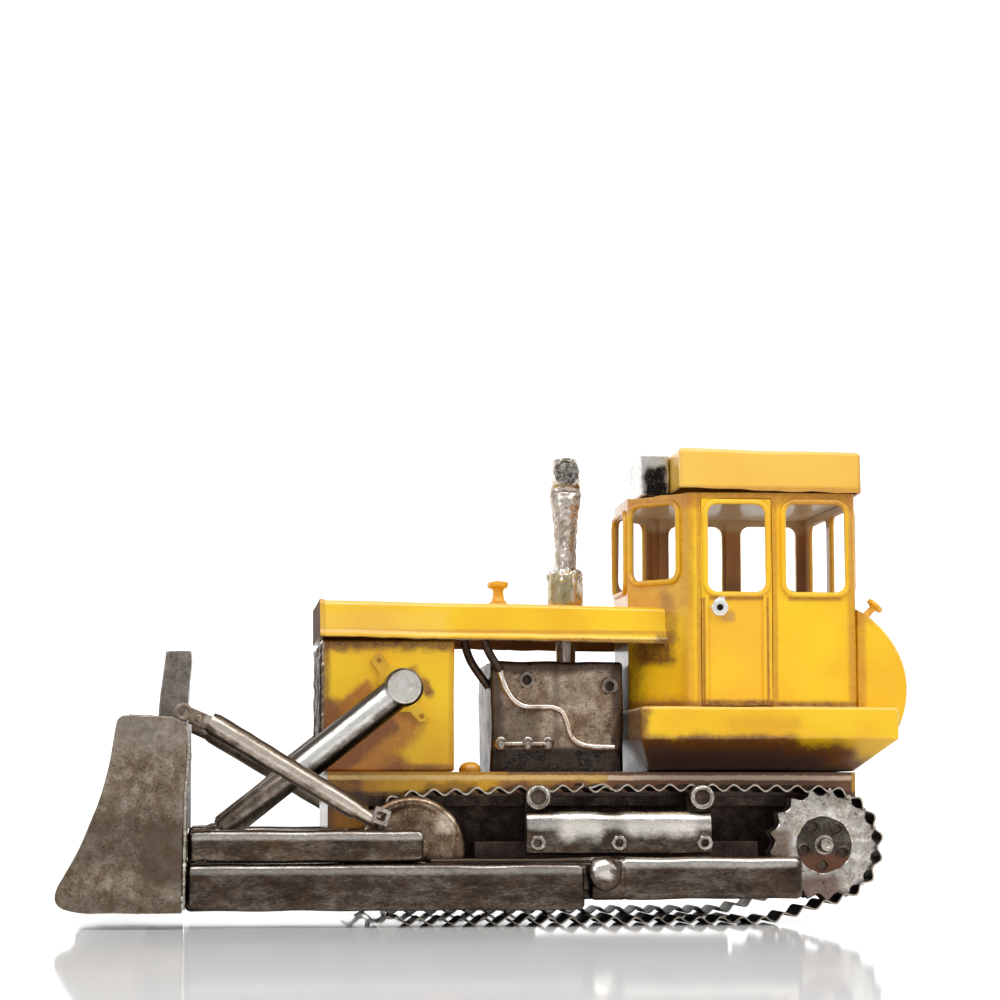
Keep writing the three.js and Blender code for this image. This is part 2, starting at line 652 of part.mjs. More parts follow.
function endPlate() {
  const shape = new THREE.Shape();
  shape.moveTo(-150.9, 7.2);
  shape.lineTo(-150.2, 64.7);
  shape.lineTo(-148.6, 86.5);
  shape.quadraticCurveTo(-148.2, 98, -157, 98.6);
  shape.lineTo(-176.4, 99.8);
  shape.quadraticCurveTo(-181.4, 100.2, -182, 95);
  shape.quadraticCurveTo(-187.5, 52, -208, 20);
  shape.quadraticCurveTo(-212, 12, -205, 9.4);
  shape.quadraticCurveTo(-198, 7.6, -192, 7.4);
  return prismY(shape, -BLADE_HALF, PLATE - BLADE_HALF, 6);
}

// Curved mouldboard whose foot turns back under the blade as a cutting edge.
function mouldboard() {
  const half = BLADE_HALF - PLATE - GAP;
  const front = bladeCurve(2.4).getPoints(10);
  const back = bladeCurve(4.6).getPoints(10).reverse();
  const foot = [[-204.2, 11.4], [-200, 8.4], [-170, 7.6], [-170, 9.8], [-198.6, 10.6]]
    .map(([x, z]) => new THREE.Vector2(x, z));
  const shape = new THREE.Shape([...front, ...foot, ...back]);
  return prismY(shape, -half, half);
}

// Rear sheet of the blade, folded over the top: the middle stands further back than the wings.
function bladeBack() {
  const half = BLADE_HALF - PLATE - GAP;
  const plan = outline([
    [-153, -half], [-150.9, -half], [-149.9, -96], [-147.4, -44], [-147.4, 44], [-149.9, 96],
    [-150.9, half], [-153, half], [-149.6, 44], [-149.6, -44],
  ]);
  const lid = box(-177.6, -149.4, -half, half, 95.4, 96.8);
  return join(prismZ(plan, 46.4, 96.8), lid);
}

function spillPlate() {
  const shape = outline([[-163.8, 97.1], [-149.6, 97.1], [-147.6, 133.4], [-160.2, 133.4]]);
  const half = 42;
  const hollow = outline([[-161.7, 96], [-151.7, 96], [-149.8, 131.4], [-158, 131.4]]);
  return cut(prismY(shape, -half, half), prismY(hollow, 2 - half, half - 2));
}

function pushBeam() {
  const { front, rear, inner, outer, bottom, top } = PUSH_BEAM;
  const beam = box(front, rear, -outer, -inner, bottom, top);
  const wall = TUBE_WALL;
  const hollow = box(front - 1, rear - wall, wall - outer, -inner - wall, bottom + wall, top - wall);
  const half = TONGUE.radius;
  const tongue = box(rear - 1, PIVOT.x, -TONGUE.outer, -inner, PIVOT.z - half, PIVOT.z + half - 2.8);
  const eye = cylinderY(PIVOT.x, PIVOT.z, half, -TONGUE.outer, -inner, 20);
  const bore = cylinderY(PIVOT.x, PIVOT.z, PIVOT.pin + GAP, -outer, -inner + 1, 12);
  return cut(join(cut(beam, hollow), tongue, eye), bore);
}

function upperArm() {
  const { front, rear, inner, outer, bottom, top } = UPPER_ARM;
  const arm = box(front, rear, -outer, -inner, bottom, top);
  const wall = TUBE_WALL;
  const hollow = box(front - 1, rear - wall, wall - outer, -inner - wall, bottom + wall, top - wall);
  const pin = cylinderY(LIFT_PIN.x, LIFT_PIN.z, LIFT_PIN.radius, -inner - 1, -63.5, 12);
  const stub = cylinderZ(-56.8, BRACE.y, 2.2, top - 1, 47.7, 8);
  return join(cut(arm, hollow), pin, stub);
}

// Diagonal brace: pin ring and flat link, fluted tube, thin rod and square eye.
function brace() {
  const { y, ringX, ringZ, topX, topZ, footX, footZ } = BRACE;
  const length = Math.hypot(footX - topX, footZ - topZ);
  const slope = Math.atan2(topZ - footZ, footX - topX);
  const place = (geometry) => geometry.rotateY(slope).translate(topX, y, topZ);
  const taper = new THREE.CylinderGeometry(3.5, 4.8, length, 12).rotateZ(-Math.PI / 2);
  const tube = taper.translate(length / 2, 0, 0);
  const tail = cylinderX(length - 2, length + 6, 2.6, 8);
  const ring = cylinderY(ringX, ringZ, 4.3, y - 2, y + 2, 16);
  const linkSide = outline([
    [ringX + 1, ringZ + 2.6], [ringX, ringZ - 2.8], [topX + 1, topZ - 3.4], [topX + 3.4, topZ + 1],
  ]);
  const link = prismY(linkSide, y - 1.5, y + 1.5);
  const eyeAt = { x: -56.8, z: 52.4 };
  const rodSide = outline([
    [footX - 1, footZ - 1.6], [eyeAt.x, eyeAt.z - 2], [eyeAt.x, eyeAt.z + 1.2], [footX, footZ + 1.6],
  ]);
  const rod = prismY(rodSide, y - 1.6, y + 1.6);
  const eye = box(-3.3, 3.3, -3.3, 3.3, -3.3, 3.3).rotateY(0.35).translate(eyeAt.x, y, eyeAt.z);
  const ringHole = cylinderY(ringX, ringZ, 2.1, y - 5, y + 5, 10);
  const eyeHole = cylinderY(eyeAt.x, eyeAt.z, 1.8, y - 6, y - 1, 8);
  return cut(join(place(tube), place(tail), ring, link, rod, eye), ringHole, eyeHole);
}

// ---------------------------------------------------------------- lift cylinders
// Barrel and rod lie along +X from the trunnion's centre until their mesh is turned.
const cylinderTurn = Math.atan2(TRUNNION.z - LIFT_PIN.z, LIFT_PIN.x - TRUNNION.x);
const cylinderReach = Math.hypot(TRUNNION.z - LIFT_PIN.z, LIFT_PIN.x - TRUNNION.x);

function barrel() {
  const { radius, bore, length } = BARREL;
  const collar = cylinderX(length - 4, length, radius + 0.6, 18);
  const tube = join(cylinderX(2, length, radius, 18), cylinderY(0, 0, 7.6, -7, 7, 18), collar);
  return cut(tube, cylinderX(11, length + 1, bore, 18), cylinderY(0, 0, AXLE_RADIUS + GAP, -8, 8, 12));
}

function rod() {
  const { radius, tail, eye, eyeBore } = ROD;
  const shaft = cylinderX(tail, cylinderReach - 3, radius, 18);
  const end = cylinderY(cylinderReach, 0, eye, -5, 5, 18);
  return cut(join(shaft, end), cylinderY(cylinderReach, 0, eyeBore, -7, 7, 12));
}

// Diagonal strap on the radiator's side, with the trunnion pin and its end disc.
function trunnion() {
  const wall = RADIATOR.half + GAP;
  const strap = box(-21, 21, -wall - 1.6, -wall, -6.5, 6.5);
  const holes = [-18, 18].map((x) => cylinderY(x, 0, 1.3, -wall - 3, 1 - wall, 8));
  const ears = cut(strap, ...holes).rotateY(cylinderTurn + Math.PI / 2);
  const pin = cylinderY(0, 0, AXLE_RADIUS, -80, -wall - 1, 12);
  const disc = cylinderY(0, 0, 8.1, -80.2, -77.6, 24);
  return join(ears, pin, disc).translate(TRUNNION.x, 0, TRUNNION.z);
}

// ---------------------------------------------------------------- assembly
add("main_frame", mainFrame(), rustyYellow());
add("belly_pan", bellyPan(), blackSteel());
addPair("track_frame", trackFrame(), blackSteel);

add("radiator_shell", radiatorShell(), yellow());
add("radiator_grille", radiatorGrille(), blackSteel());
add("hood", hood(), yellow());
add("filler_cap", fillerCap(), yellow());
add("deck_cap", deckCap(), yellow());

add("engine_block", engineBlock(), bronze());
add("oil_pipe", oilPipe(), brightSteel());
add("fuel_pipe", fuelPipe(), darkSteel());
add("exhaust_stub", exhaustStub(), bronze());
add("exhaust_collar", exhaustCollar(), brightSteel());
add("exhaust_pipe", exhaustPipe(), brightSteel());

add("cab_base", cabBase(), yellow());
add("cab_shell", cabShell(), yellow());
add("cab_roof", cabRoof(), yellow());
add("air_filter_box", airFilterBox(), brightSteel());
add("rear_tank", rearTank(), yellow());
add("tank_cap", tankCap(), yellow());
add("seat", seat(), blackSteel());
add("control_levers", controlLevers(), darkSteel());
addPair("door", door(), yellow);
addPair("door_nut", hexNut(114.2, 156, -CAB.half - GAP), brightSteel);

addPair("track_band", trackBand(), darkSteel);
addPair("side_beam", sideBeam(), darkSteel);
addPair("pivot_pin", pivotPin(), darkSteel);
addPair("roller_guard", rollerGuard(), darkSteel);

for (const [side, sign] of [["left", 1], ["right", -1]]) {
  const wheels = new THREE.Group();
  const handed = (geometry) => (sign > 0 ? geometry : mirrored(geometry));
  wheels.position.y = -sign * WHEEL_FACE;
  bulldozer.add(wheels);
  add(`${side}_sprocket`, handed(sprocket()), brightSteel(), wheels).position.set(SPROCKET.x, 0, SPROCKET.z);
  add(`${side}_idler`, handed(idler()), bronze(), wheels).position.set(IDLER.x, 0, IDLER.z);
  CARRIER.xs.forEach((x, i) => {
    const name = `${side}_carrier_roller_${i === 0 ? "front" : "rear"}`;
    add(name, handed(carrierRoller()), brightSteel(), wheels).position.set(x, 0, CARRIER.z);
  });
}

add("mouldboard", mouldboard(), darkSteel());
add("blade_back", bladeBack(), darkSteel());
add("spill_plate", spillPlate(), darkSteel());
addPair("end_plate", endPlate(), darkSteel);
addPair("push_beam", pushBeam(), darkSteel);
addPair("upper_arm", upperArm(), darkSteel);
addPair("brace", brace(), brightSteel);
addPair("trunnion", trunnion(), brightSteel);

for (const [side, sign] of [["left", 1], ["right", -1]]) {
  const cylinder = new THREE.Group();
  cylinder.position.set(TRUNNION.x, sign * TRUNNION.y, TRUNNION.z);
  cylinder.rotation.y = cylinderTurn;
  bulldozer.add(cylinder);
  add(`${side}_lift_barrel`, barrel(), brightSteel(), cylinder);
  add(`${side}_lift_rod`, rod(), darkSteel(), cylinder);
}

export default bulldozer;
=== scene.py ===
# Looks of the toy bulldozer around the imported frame. Lengths in the builders are millimetres.
import json
import math

import bmesh
import bpy
from mathutils import Matrix, Vector, noise
from mathutils.geometry import tessellate_polygon


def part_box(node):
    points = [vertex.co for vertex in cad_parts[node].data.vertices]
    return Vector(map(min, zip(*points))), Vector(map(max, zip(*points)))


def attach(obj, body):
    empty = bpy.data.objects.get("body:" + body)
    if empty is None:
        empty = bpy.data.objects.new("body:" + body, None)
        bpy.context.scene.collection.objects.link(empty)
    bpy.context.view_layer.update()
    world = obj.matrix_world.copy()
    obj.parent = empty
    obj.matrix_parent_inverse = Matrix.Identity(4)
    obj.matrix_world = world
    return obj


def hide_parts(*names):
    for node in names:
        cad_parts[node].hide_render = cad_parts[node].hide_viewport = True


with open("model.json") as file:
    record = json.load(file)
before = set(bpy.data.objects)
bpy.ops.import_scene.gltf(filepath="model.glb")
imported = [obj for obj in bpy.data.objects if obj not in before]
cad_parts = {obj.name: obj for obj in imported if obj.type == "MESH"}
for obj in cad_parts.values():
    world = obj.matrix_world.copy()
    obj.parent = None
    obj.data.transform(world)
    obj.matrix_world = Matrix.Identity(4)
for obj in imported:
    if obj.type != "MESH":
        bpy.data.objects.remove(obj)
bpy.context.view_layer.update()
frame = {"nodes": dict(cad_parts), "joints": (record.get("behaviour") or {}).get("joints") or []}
MM = 0.001
TAU = 2 * math.pi
ACROSS = (-300, 300)  # wider than the machine, in y
NEAT_BELOW = 3.2  # a shade that fades over less than this has a neat edge
SPECK = 0x5B3418
noise.seed_set(7)  # without it noise_vector takes its offsets from the clock

# ---------------------------------------------------------------- node helpers


class Nodes:
    """A small writer of shader nodes for one material."""

    def __init__(self, name):
        self.material = bpy.data.materials.new(name)
        self.material.use_nodes = True
        self.tree = self.material.node_tree
        self.tree.nodes.clear()
        self.out = self.add("ShaderNodeOutputMaterial")
        self.bsdf = self.add("ShaderNodeBsdfPrincipled")
        self.link(self.bsdf.outputs[0], self.out.inputs[0])
        coordinate = self.add("ShaderNodeTexCoord").outputs["Object"]
        self.place = self.vector("SCALE", coordinate, scale=1000)

    def add(self, kind, **values):
        node = self.tree.nodes.new(kind)
        for key, value in values.items():
            setattr(node, key, value)
        return node

    def link(self, a, b):
        self.tree.links.new(a, b)

    def put(self, socket, value):
        if isinstance(value, bpy.types.NodeSocket):
            self.link(value, socket)
        else:
            socket.default_value = value

    def vector(self, operation, a, b=None, scale=None):
        node = self.add("ShaderNodeVectorMath", operation=operation)
        self.put(node.inputs[0], a)
        if b is not None:
            self.put(node.inputs[1], b)
        if scale is not None:
            self.put(node.inputs["Scale"], scale)
        return node.outputs["Value" if operation in ("LENGTH", "DOT_PRODUCT") else "Vector"]

    def math(self, operation, a, b=0.0, c=0.0, clamp=False):
        node = self.add("ShaderNodeMath", operation=operation, use_clamp=clamp)
        for socket, value in zip(node.inputs, (a, b, c)):
            self.put(socket, value)
        return node.outputs[0]

    def noise(self, size, detail=3.0, rough=0.55, distort=0.0, stretch=None, seed=0, output=0):
        """Noise of features about size mm across, from 0 to 1."""
        where = self.place
        if seed:
            where = self.vector("ADD", where, (seed * 137.3, seed * 71.9, seed * 33.1))
        if stretch:
            where = self.vector("MULTIPLY", where, stretch)
        node = self.add("ShaderNodeTexNoise")
        self.put(node.inputs["Vector"], where)
        settings = {"Scale": 1 / size, "Detail": detail, "Roughness": rough, "Distortion": distort}
        for name, value in settings.items():
            node.inputs[name].default_value = value
        return node.outputs[output]

    def range(self, value, low, high, to_low=0.0, to_high=1.0):
        """A soft step between low and high."""
        node = self.add("ShaderNodeMapRange", interpolation_type="SMOOTHSTEP")
        for socket, item in zip(node.inputs, (value, low, high, to_low, to_high)):
            self.put(socket, item)
        return node.outputs[0]

    def mix(self, factor, a, b):
        """Colour a where the factor is 0, and b where it is 1."""
        node = self.add("ShaderNodeMix", data_type="RGBA")
        node.clamp_factor = True
        for socket, value in ((0, factor), (6, a), (7, b)):
            self.put(node.inputs[socket], value)
        return node.outputs[2]

    def times(self, a, b, clamp=False):
        return self.math("MULTIPLY", a, b, clamp=clamp)

    def ramp(self, value, stops):
        node = self.add("ShaderNodeValToRGB")
        elements = node.color_ramp.elements
        while len(elements) < len(stops):
            elements.new(0.5)
        for element, (at, color) in zip(elements, stops):
            element.position = at
            element.color = color
        self.put(node.inputs[0], value)
        return node.outputs[0]

    def wobble(self, coarse, fine):
        """The place, pushed about by coarse and fine noise, for the ragged edges of shades."""
        place = self.place
        for size, reach in ((9, coarse), (1.1, fine)):
            push = self.vector("SUBTRACT", self.noise(size, 2, output="Color"), (0.5, 0.5, 0.5))
            place = self.vector("ADD", place, self.vector("SCALE", push, scale=reach))
        return place

    def near(self, where, low, high, spread, tilt=None):
        """1 inside a box, falling to 0 at spread mm outside it. tilt is (centre, angle about Y)."""
        if tilt:
            node = self.add("ShaderNodeVectorRotate", rotation_type="Y_AXIS")
            self.put(node.inputs["Vector"], where)
            node.inputs["Center"].default_value, node.inputs["Angle"].default_value = tilt
            where = node.outputs[0]
        centre = [(a + b) / 2 for a, b in zip(low, high)]
        half = [(b - a) / 2 for a, b in zip(low, high)]
        offset = self.vector("ABSOLUTE", self.vector("SUBTRACT", where, centre))
        outside = self.vector("MAXIMUM", self.vector("SUBTRACT", offset, half), (0, 0, 0))
        return self.range(self.vector("LENGTH", outside), spread, 0.0)

    def shaded(self, color, shades, grit, veil):
        """Shades over a colour, each (x0, x1, z0, z1, spread, strength, tone) in mm: airbrushed tones and
        rust, and in places painted highlights and painted shade.

        A tilt may follow, and then the shade's own (y0, y1). Without it a shade runs right across.
        """
        ragged, neat = self.wobble(7, 1.6), self.wobble(0.8, 0.8)
        for x0, x1, z0, z1, spread, strength, tone, *rest in shades:
            tilt, (y0, y1) = rest + [None, ACROSS][len(rest):]
            where = neat if spread < NEAT_BELOW else ragged
            mask = self.near(where, (x0, y0, z0), (x1, y1, z1), spread, tilt)
            speckled = self.times(mask, self.range(grit, 0.2, 0.62, 0.6, 1.2))
            cloudy = self.range(veil, 0.25, 0.75, 0.75 * strength, 1.1 * strength)
            color = self.mix(self.times(speckled, cloudy, clamp=True), color, rgb(tone))
        return color

    def bump(self, height, strength, distance):
        node = self.add("ShaderNodeBump")
        node.inputs["Strength"].default_value = strength
        node.inputs["Distance"].default_value = distance * MM
        self.put(node.inputs["Height"], height)
        self.link(node.outputs[0], self.bsdf.inputs["Normal"])


def rgb(hexa):
    """Linear colour from an sRGB hex number."""
    channels = [((hexa >> shift) & 255) / 255 for shift in (16, 8, 0)]
    return (*[c / 12.92 if c <= 0.04045 else ((c + 0.055) / 1.055) ** 2.4 for c in channels], 1.0)


def paint(name, base, shades=(), rust=0.0, gloss=0.32, shine=0.5):
    """Glossy sprayed paint with soft shades: airbrushed tones and rust, and in places painted highlights and
    painted shade.
    """
    n = Nodes(name)
    light, deep = (rgb(tone) for tone in base)
    color = n.mix(n.range(n.noise(38, 2, 0.5), 0.3, 0.7), light, deep)
    grit = n.noise(0.9, 4, 0.7)
    veil = n.noise(4.5, 4, 0.65, seed=2)
    color = n.shaded(color, shades, grit, veil)
    if rust:
        specks = n.times(n.range(grit, 0.60, 0.70), n.range(veil, 0.55, 0.75))
        color = n.mix(n.times(specks, rust), color, rgb(SPECK))
    n.put(n.bsdf.inputs["Base Color"], color)
    n.put(n.bsdf.inputs["Roughness"], n.range(veil, 0.2, 0.8, gloss - 0.06, gloss + 0.12))
    for socket, value in (("Coat Weight", shine), ("Specular IOR Level", shine), ("Coat Roughness", 0.12)):
        n.bsdf.inputs[socket].default_value = value
    n.bump(n.math("ADD", n.noise(24, 1, 0.4, seed=5), n.times(grit, 0.035)), 0.5, 0.8)
    return n.material


def steel(name, tones, rough=0.36, size=9.0, stretch=None, pits=0.12, tint=None, shades=(),
          relief=0.45):
    """Burnished steel: dark patina rubbed lighter in small clouds, with fine scratches and pits."""
    n = Nodes(name)
    dark, mid, bright = (rgb(tone) for tone in tones)
    cloud = n.noise(size, 6, 0.62, 0.3, stretch)
    fine = n.noise(1.1, 5, 0.75, 0.0, stretch, 3)
    broad = n.noise(size * 3.2, 2, 0.5, seed=7)
    worn = n.math("ADD", n.times(cloud, 0.45), n.times(fine, 0.4))
    worn = n.math("ADD", worn, n.times(broad, 0.15))
    color = n.ramp(worn, [(0.36, dark), (0.49, mid), (0.64, bright)])
    if tint:
        stain = n.range(n.noise(size * 1.6, 4, 0.6, seed=9), 0.45, 0.72, 0.0, 0.6)
        color = n.mix(stain, color, rgb(tint))
    pit = n.range(n.noise(0.8, 2, 0.6, seed=11), 0.62, 0.72)
    color = n.mix(n.times(pit, 0.6), color, dark)
    n.put(n.bsdf.inputs["Base Color"], n.shaded(color, shades, fine, cloud))
    n.bsdf.inputs["Metallic"].default_value = 1.0
    n.put(n.bsdf.inputs["Roughness"], n.range(worn, 0.35, 0.65, rough + 0.1, rough - 0.06))
    waves = n.noise(7, 2, 0.5, seed=13)
    height = n.math("SUBTRACT", n.times(waves, 0.5), n.times(pit, pits))
    n.bump(n.math("ADD", height, n.times(fine, 0.1)), relief, relief)
    return n.material


# ---------------------------------------------------------------- mesh helpers
MERGE = 0.004 * MM
BEVEL_FROM = math.radians(32)
CREASE_FROM = math.radians(38)
PLANES = {
    "X": lambda u, v, h: Vector((h, u, v)),
    "Y": lambda u, v, h: Vector((u, h, v)),
    "-Y": lambda u, v, h: Vector((u, -h, v)),
    "Z": lambda u, v, h: Vector((u, v, h)),
}


def span(node):
    """Lowest and highest corners of a CAD node in mm."""
    low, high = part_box(node)
    return low / MM, high / MM


def joint_place(name):
    return Vector(next(joint["pos_m"] for joint in frame["joints"] if joint["name"] == name)) / MM


def angles(count):
    """Equal steps round a full turn."""
    return [TAU * i / count for i in range(count)]


def circle(u, v, radius, steps=24):
    return [(u + radius * math.cos(a), v + radius * math.sin(a)) for a in angles(steps)]


def rounded(u0, u1, v0, v1, radius, steps=5):
    """A rectangle's outline, anticlockwise from the lower left. radius is one number or four."""
    radii = radius if isinstance(radius, (tuple, list)) else [radius] * 4
    points = []
    for (u, v, start), r in zip(((u0, v0, 2), (u1, v0, 3), (u1, v1, 0), (u0, v1, 1)), radii):
        centre_u, centre_v = u + (r if u == u0 else -r), v + (r if v == v0 else -r)
        for i in range(steps + 1):
            angle = (start + i / steps) * math.pi / 2
            points.append((centre_u + r * math.cos(angle), centre_v + r * math.sin(angle)))
    return points


def bezier(points, steps):
    """Points along a quadratic curve given by its three control points."""
    a, b, c = (Vector(p) for p in points)
    return [tuple(a.lerp(b, t).lerp(b.lerp(c, t), t)) for t in (i / steps for i in range(steps + 1))]


class Shape:
    """Points and faces in mm, gathered from several solids before they become one piece."""

    def __init__(self):
        self.points = []
        self.faces = []

    def skin(self, rings, caps=True):
        """A closed skin over rings of equal counts."""
        base, count = len(self.points), len(rings[0])
        for ring in rings:
            self.points.extend(Vector(p) for p in ring)
        for i in range(len(rings) - 1):
            for j in range(count):
                a, b = base + i * count, base + (i + 1) * count
                k = (j + 1) % count
                self.faces.append((a + j, a + k, b + k, b + j))
        if caps:
            last = base + (len(rings) - 1) * count
            self.faces.append(tuple(base + j for j in reversed(range(count))))
            self.faces.append(tuple(last + j for j in range(count)))
        return self

    def extrude(self, outline, start, end, axis="Y", holes=(), open_at=()):
        """A flat outline drawn along an axis, with holes right through it.

        axis may be a function of (u, v, height). Edges along a u of open_at stay open.
        """
        place = PLANES.get(axis, axis)
        loops = [list(outline), *[list(hole) for hole in holes]]
        base, count = len(self.points), sum(len(loop) for loop in loops)
        for height in (start, end):
            self.points.extend(place(u, v, height) for loop in loops for u, v in loop)
        first = base
        for loop in loops:
            size = len(loop)
            for j in range(size):
                k = (j + 1) % size
                if loop[j][0] != loop[k][0] or loop[j][0] not in open_at:
                    a, b = first + j, first + k
                    self.faces.append((a, b, b + count, a + count))
            first += size
        if holes:
            flat = [[Vector((u, v, 0)) for u, v in loop] for loop in loops]
            for triangle in tessellate_polygon(flat):
                self.faces.append(tuple(base + i for i in triangle))
                self.faces.append(tuple(base + count + i for i in reversed(triangle)))
        else:
            self.faces.append(tuple(range(base, base + count)))
            self.faces.append(tuple(range(base + count, base + 2 * count)))
        return self

    def turned(self, profile, centre=(0, 0, 0), axis="-Y", sides=40, form=None):
        """A lathe of (radius, height) pairs. It closes on the axis, or else on itself."""
        solid = profile[0][0] == 0
        rings = []
        for radius, height in profile[1:-1] if solid else [*profile, profile[0]]:
            ring = []
            for angle in angles(sides):
                r = form(radius, angle) if form else radius
                ring.append(PLANES[axis](r * math.cos(angle), r * math.sin(angle), height) + Vector(centre))
            rings.append(ring)
        return self.skin(rings, caps=solid)

    def tube(self, path, radius, sides=12, closed=False, ripple=None):
        """A round bar along a path. ripple scales the radius at each step."""
        path = [Vector(p) for p in path]
        count = len(path)
        tangents = []
        for i in range(count):
            before = path[i - 1] if i or closed else path[i]
            after = path[(i + 1) % count] if i < count - 1 or closed else path[i]
            tangents.append((after - before).normalized())
        side = tangents[0].orthogonal()
        rings = []
        for i, (point, along) in enumerate(zip(path, tangents)):
            side = (side - along * side.dot(along)).normalized()
            up = along.cross(side)
            r = (radius[i] if isinstance(radius, list) else radius) * (ripple(i) if ripple else 1)
            rings.append([point + side * r * math.cos(a) + up * r * math.sin(a) for a in angles(sides)])
        return self.skin([*rings, rings[0]] if closed else rings, caps=not closed)

    def block(self, low, high, radius, axis="X"):
        """A bar with rounded long edges and rounded ends."""
        order = {"X": (1, 2, 0), "Y": (0, 2, 1), "Z": (0, 1, 2)}[axis]
        (u0, u1), (v0, v1), (h0, h1) = ((low[i], high[i]) for i in order)
        turns = (0, 0.4, 0.8, 1.2, math.pi / 2)
        steps = [(radius * (1 - math.cos(t)), radius * (1 - math.sin(t))) for t in turns]
        rows = [(h0 + rise, inset) for rise, inset in steps]
        rows += [(h1 - rise, inset) for rise, inset in reversed(steps)]
        rings = []
        for height, inset in rows:
            corner = max(radius - inset, 0.15)
            ring = rounded(u0 + inset, u1 - inset, v0 + inset, v1 - inset, corner, 4)
            rings.append([PLANES[axis](u, v, height) for u, v in ring])
        return self.skin(rings)

    def boxed(self, profile, low, high, corner):
        """Rounded rectangles stacked in Z. profile has (inset, height) rows."""
        rings = []
        for inset, height in profile:
            radius = max(corner - max(inset, 0), 0.3)
            ring = rounded(low[0] + inset, high[0] - inset, low[1] + inset, high[1] - inset, radius, 4)
            rings.append([Vector((x, y, height)) for x, y in ring])
        return self.skin(rings)

    def nut(self, x, z, face, across, thick, bore, corner=0.6):
        """A hexagon nut on a face, its corners turned off outside."""
        def hexagon(radius, angle):
            flat = across / 2 / math.cos((angle % (TAU / 6)) - TAU / 12)
            return radius if radius < 0.35 * across else min(radius, flat)

        profile = [(0, 0.3), (bore * 0.9, 0.3), (bore, thick - 0.4), (bore + 0.4, thick),
                   (0.43 * across, thick), (0.49 * across, thick - 0.18),
                   (corner * across, thick - 0.1 * across), (corner * across, -0.2), (0, -0.2)]
        return self.turned(profile, (x, face, z), "-Y", 48, hexagon)

    def bead(self, path, radius, seed, lumps=0.45):
        """A lumpy run of weld."""
        def ripple(i):
            return 1 + lumps * noise.noise((i * 0.45, seed * 7.3, 0.5))

        return self.tube(resample(path, 0.7), radius, 8, ripple=ripple)

    def add(self, other):
        base = len(self.points)
        self.points.extend(other.points)
        self.faces.extend(tuple(base + i for i in face) for face in other.faces)
        return self

    def moved(self, place, lean=0.0):
        """Turned by lean about the Y axis and then moved to a place."""
        matrix = Matrix.Translation(place) @ Matrix.Rotation(lean, 4, "Y")
        self.points = [matrix @ p for p in self.points]
        return self

    def mirrored(self):
        other = Shape()
        other.points = [Vector((p.x, -p.y, p.z)) for p in self.points]
        other.faces = [tuple(reversed(face)) for face in self.faces]
        return other


def resample(path, step):
    """Points every step mm along straight runs between the path's points."""
    path = [Vector(p) for p in path]
    points = [path[0]]
    for a, b in zip(path, path[1:]):
        pieces = max(1, round((b - a).length / step))
        points.extend(a.lerp(b, i / pieces) for i in range(1, pieces + 1))
    return points


def smooth_path(points, steps=6):
    """A Catmull-Rom curve through points."""
    points = [Vector(p) for p in points]
    padded = [2 * points[0] - points[1], *points, 2 * points[-1] - points[-2]]
    path = []
    for a, b, c, d in zip(padded, padded[1:], padded[2:], padded[3:]):
        for i in range(steps):
            t = i / steps
            path.append(0.5 * (2 * b + (c - a) * t + (2 * a - 5 * b + 4 * c - d) * t * t
                               + (3 * b - a - 3 * c + d) * t * t * t))
    return [*path, points[-1]]


def dented(size, depth, seed=0):
    """Slow uneven waves of hand-beaten sheet."""
    return lambda p: noise.noise_vector(p / size + Vector((seed * 5.1, 3.7, seed * 2.3))) * depth


def soften(bm, width, segments):
    """Bevel the sharp edges."""
    sharp = [e for e in bm.edges if len(e.link_faces) == 2 and e.calc_face_angle(0) > BEVEL_FROM]
    bmesh.ops.bevel(bm, geom=sharp, offset=width * MM, segments=segments, profile=0.6, affect="EDGES",
                    clamp_overlap=True)


def slice_up(bm, step):
    """Cut the faces every step mm along each axis, so that they can follow the dents."""
    for axis in range(3):
        places = [v.co[axis] / MM for v in bm.verts]
        normal = Vector([1.0 if i == axis else 0.0 for i in range(3)])
        for i in range(math.ceil(min(places) / step), math.floor(max(places) / step) + 1):
            geometry = [*bm.verts, *bm.edges, *bm.faces]
            bmesh.ops.bisect_plane(bm, geom=geometry, plane_co=normal * i * step * MM, plane_no=normal)


def build_mesh(name, shape, bevel, segments, grid, roughen):
    """A Shape as a mesh, with its doubled points merged and its creases marked sharp."""
    mesh = bpy.data.meshes.new(name)
    mesh.from_pydata([p * MM for p in shape.points], [], shape.faces)
    bm = bmesh.new()
    bm.from_mesh(mesh)
    bmesh.ops.remove_doubles(bm, verts=bm.verts, dist=MERGE)
    bmesh.ops.dissolve_degenerate(bm, edges=bm.edges, dist=MERGE / 2)
    bmesh.ops.recalc_face_normals(bm, faces=bm.faces)
    if bevel:
        soften(bm, bevel, segments)
    if grid:
        slice_up(bm, grid)
    if roughen:
        for vertex in bm.verts:
            vertex.co += roughen(vertex.co / MM) * MM
    for face in bm.faces:
        face.smooth = True
    for edge in bm.edges:
        if len(edge.link_faces) == 2 and edge.calc_face_angle(0) > CREASE_FROM:
            edge.smooth = False
    bm.to_mesh(mesh)
    bm.free()
    return mesh


def piece(name, shape, body, material, stands_for=(), bevel=0.0, segments=3, grid=0, roughen=None,
          inside=None):
    """Make a Shape into an object that rides on a body.

    inside is (material, test): the faces whose centre and normal pass the test get that material.
    """
    mesh = build_mesh(name, shape, bevel, segments, grid, roughen)
    obj = bpy.data.objects.new(name, mesh)
    bpy.context.scene.collection.objects.link(obj)
    mesh.materials.append(material)
    if inside:
        other, test = inside
        mesh.materials.append(other)
        for polygon in mesh.polygons:
            polygon.material_index = int(test(polygon.center / MM, polygon.normal))
    weighted = obj.modifiers.new("normals", "WEIGHTED_NORMAL")
    weighted.keep_sharp = True
    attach(obj, body)
    if stands_for:
        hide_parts(*stands_for)


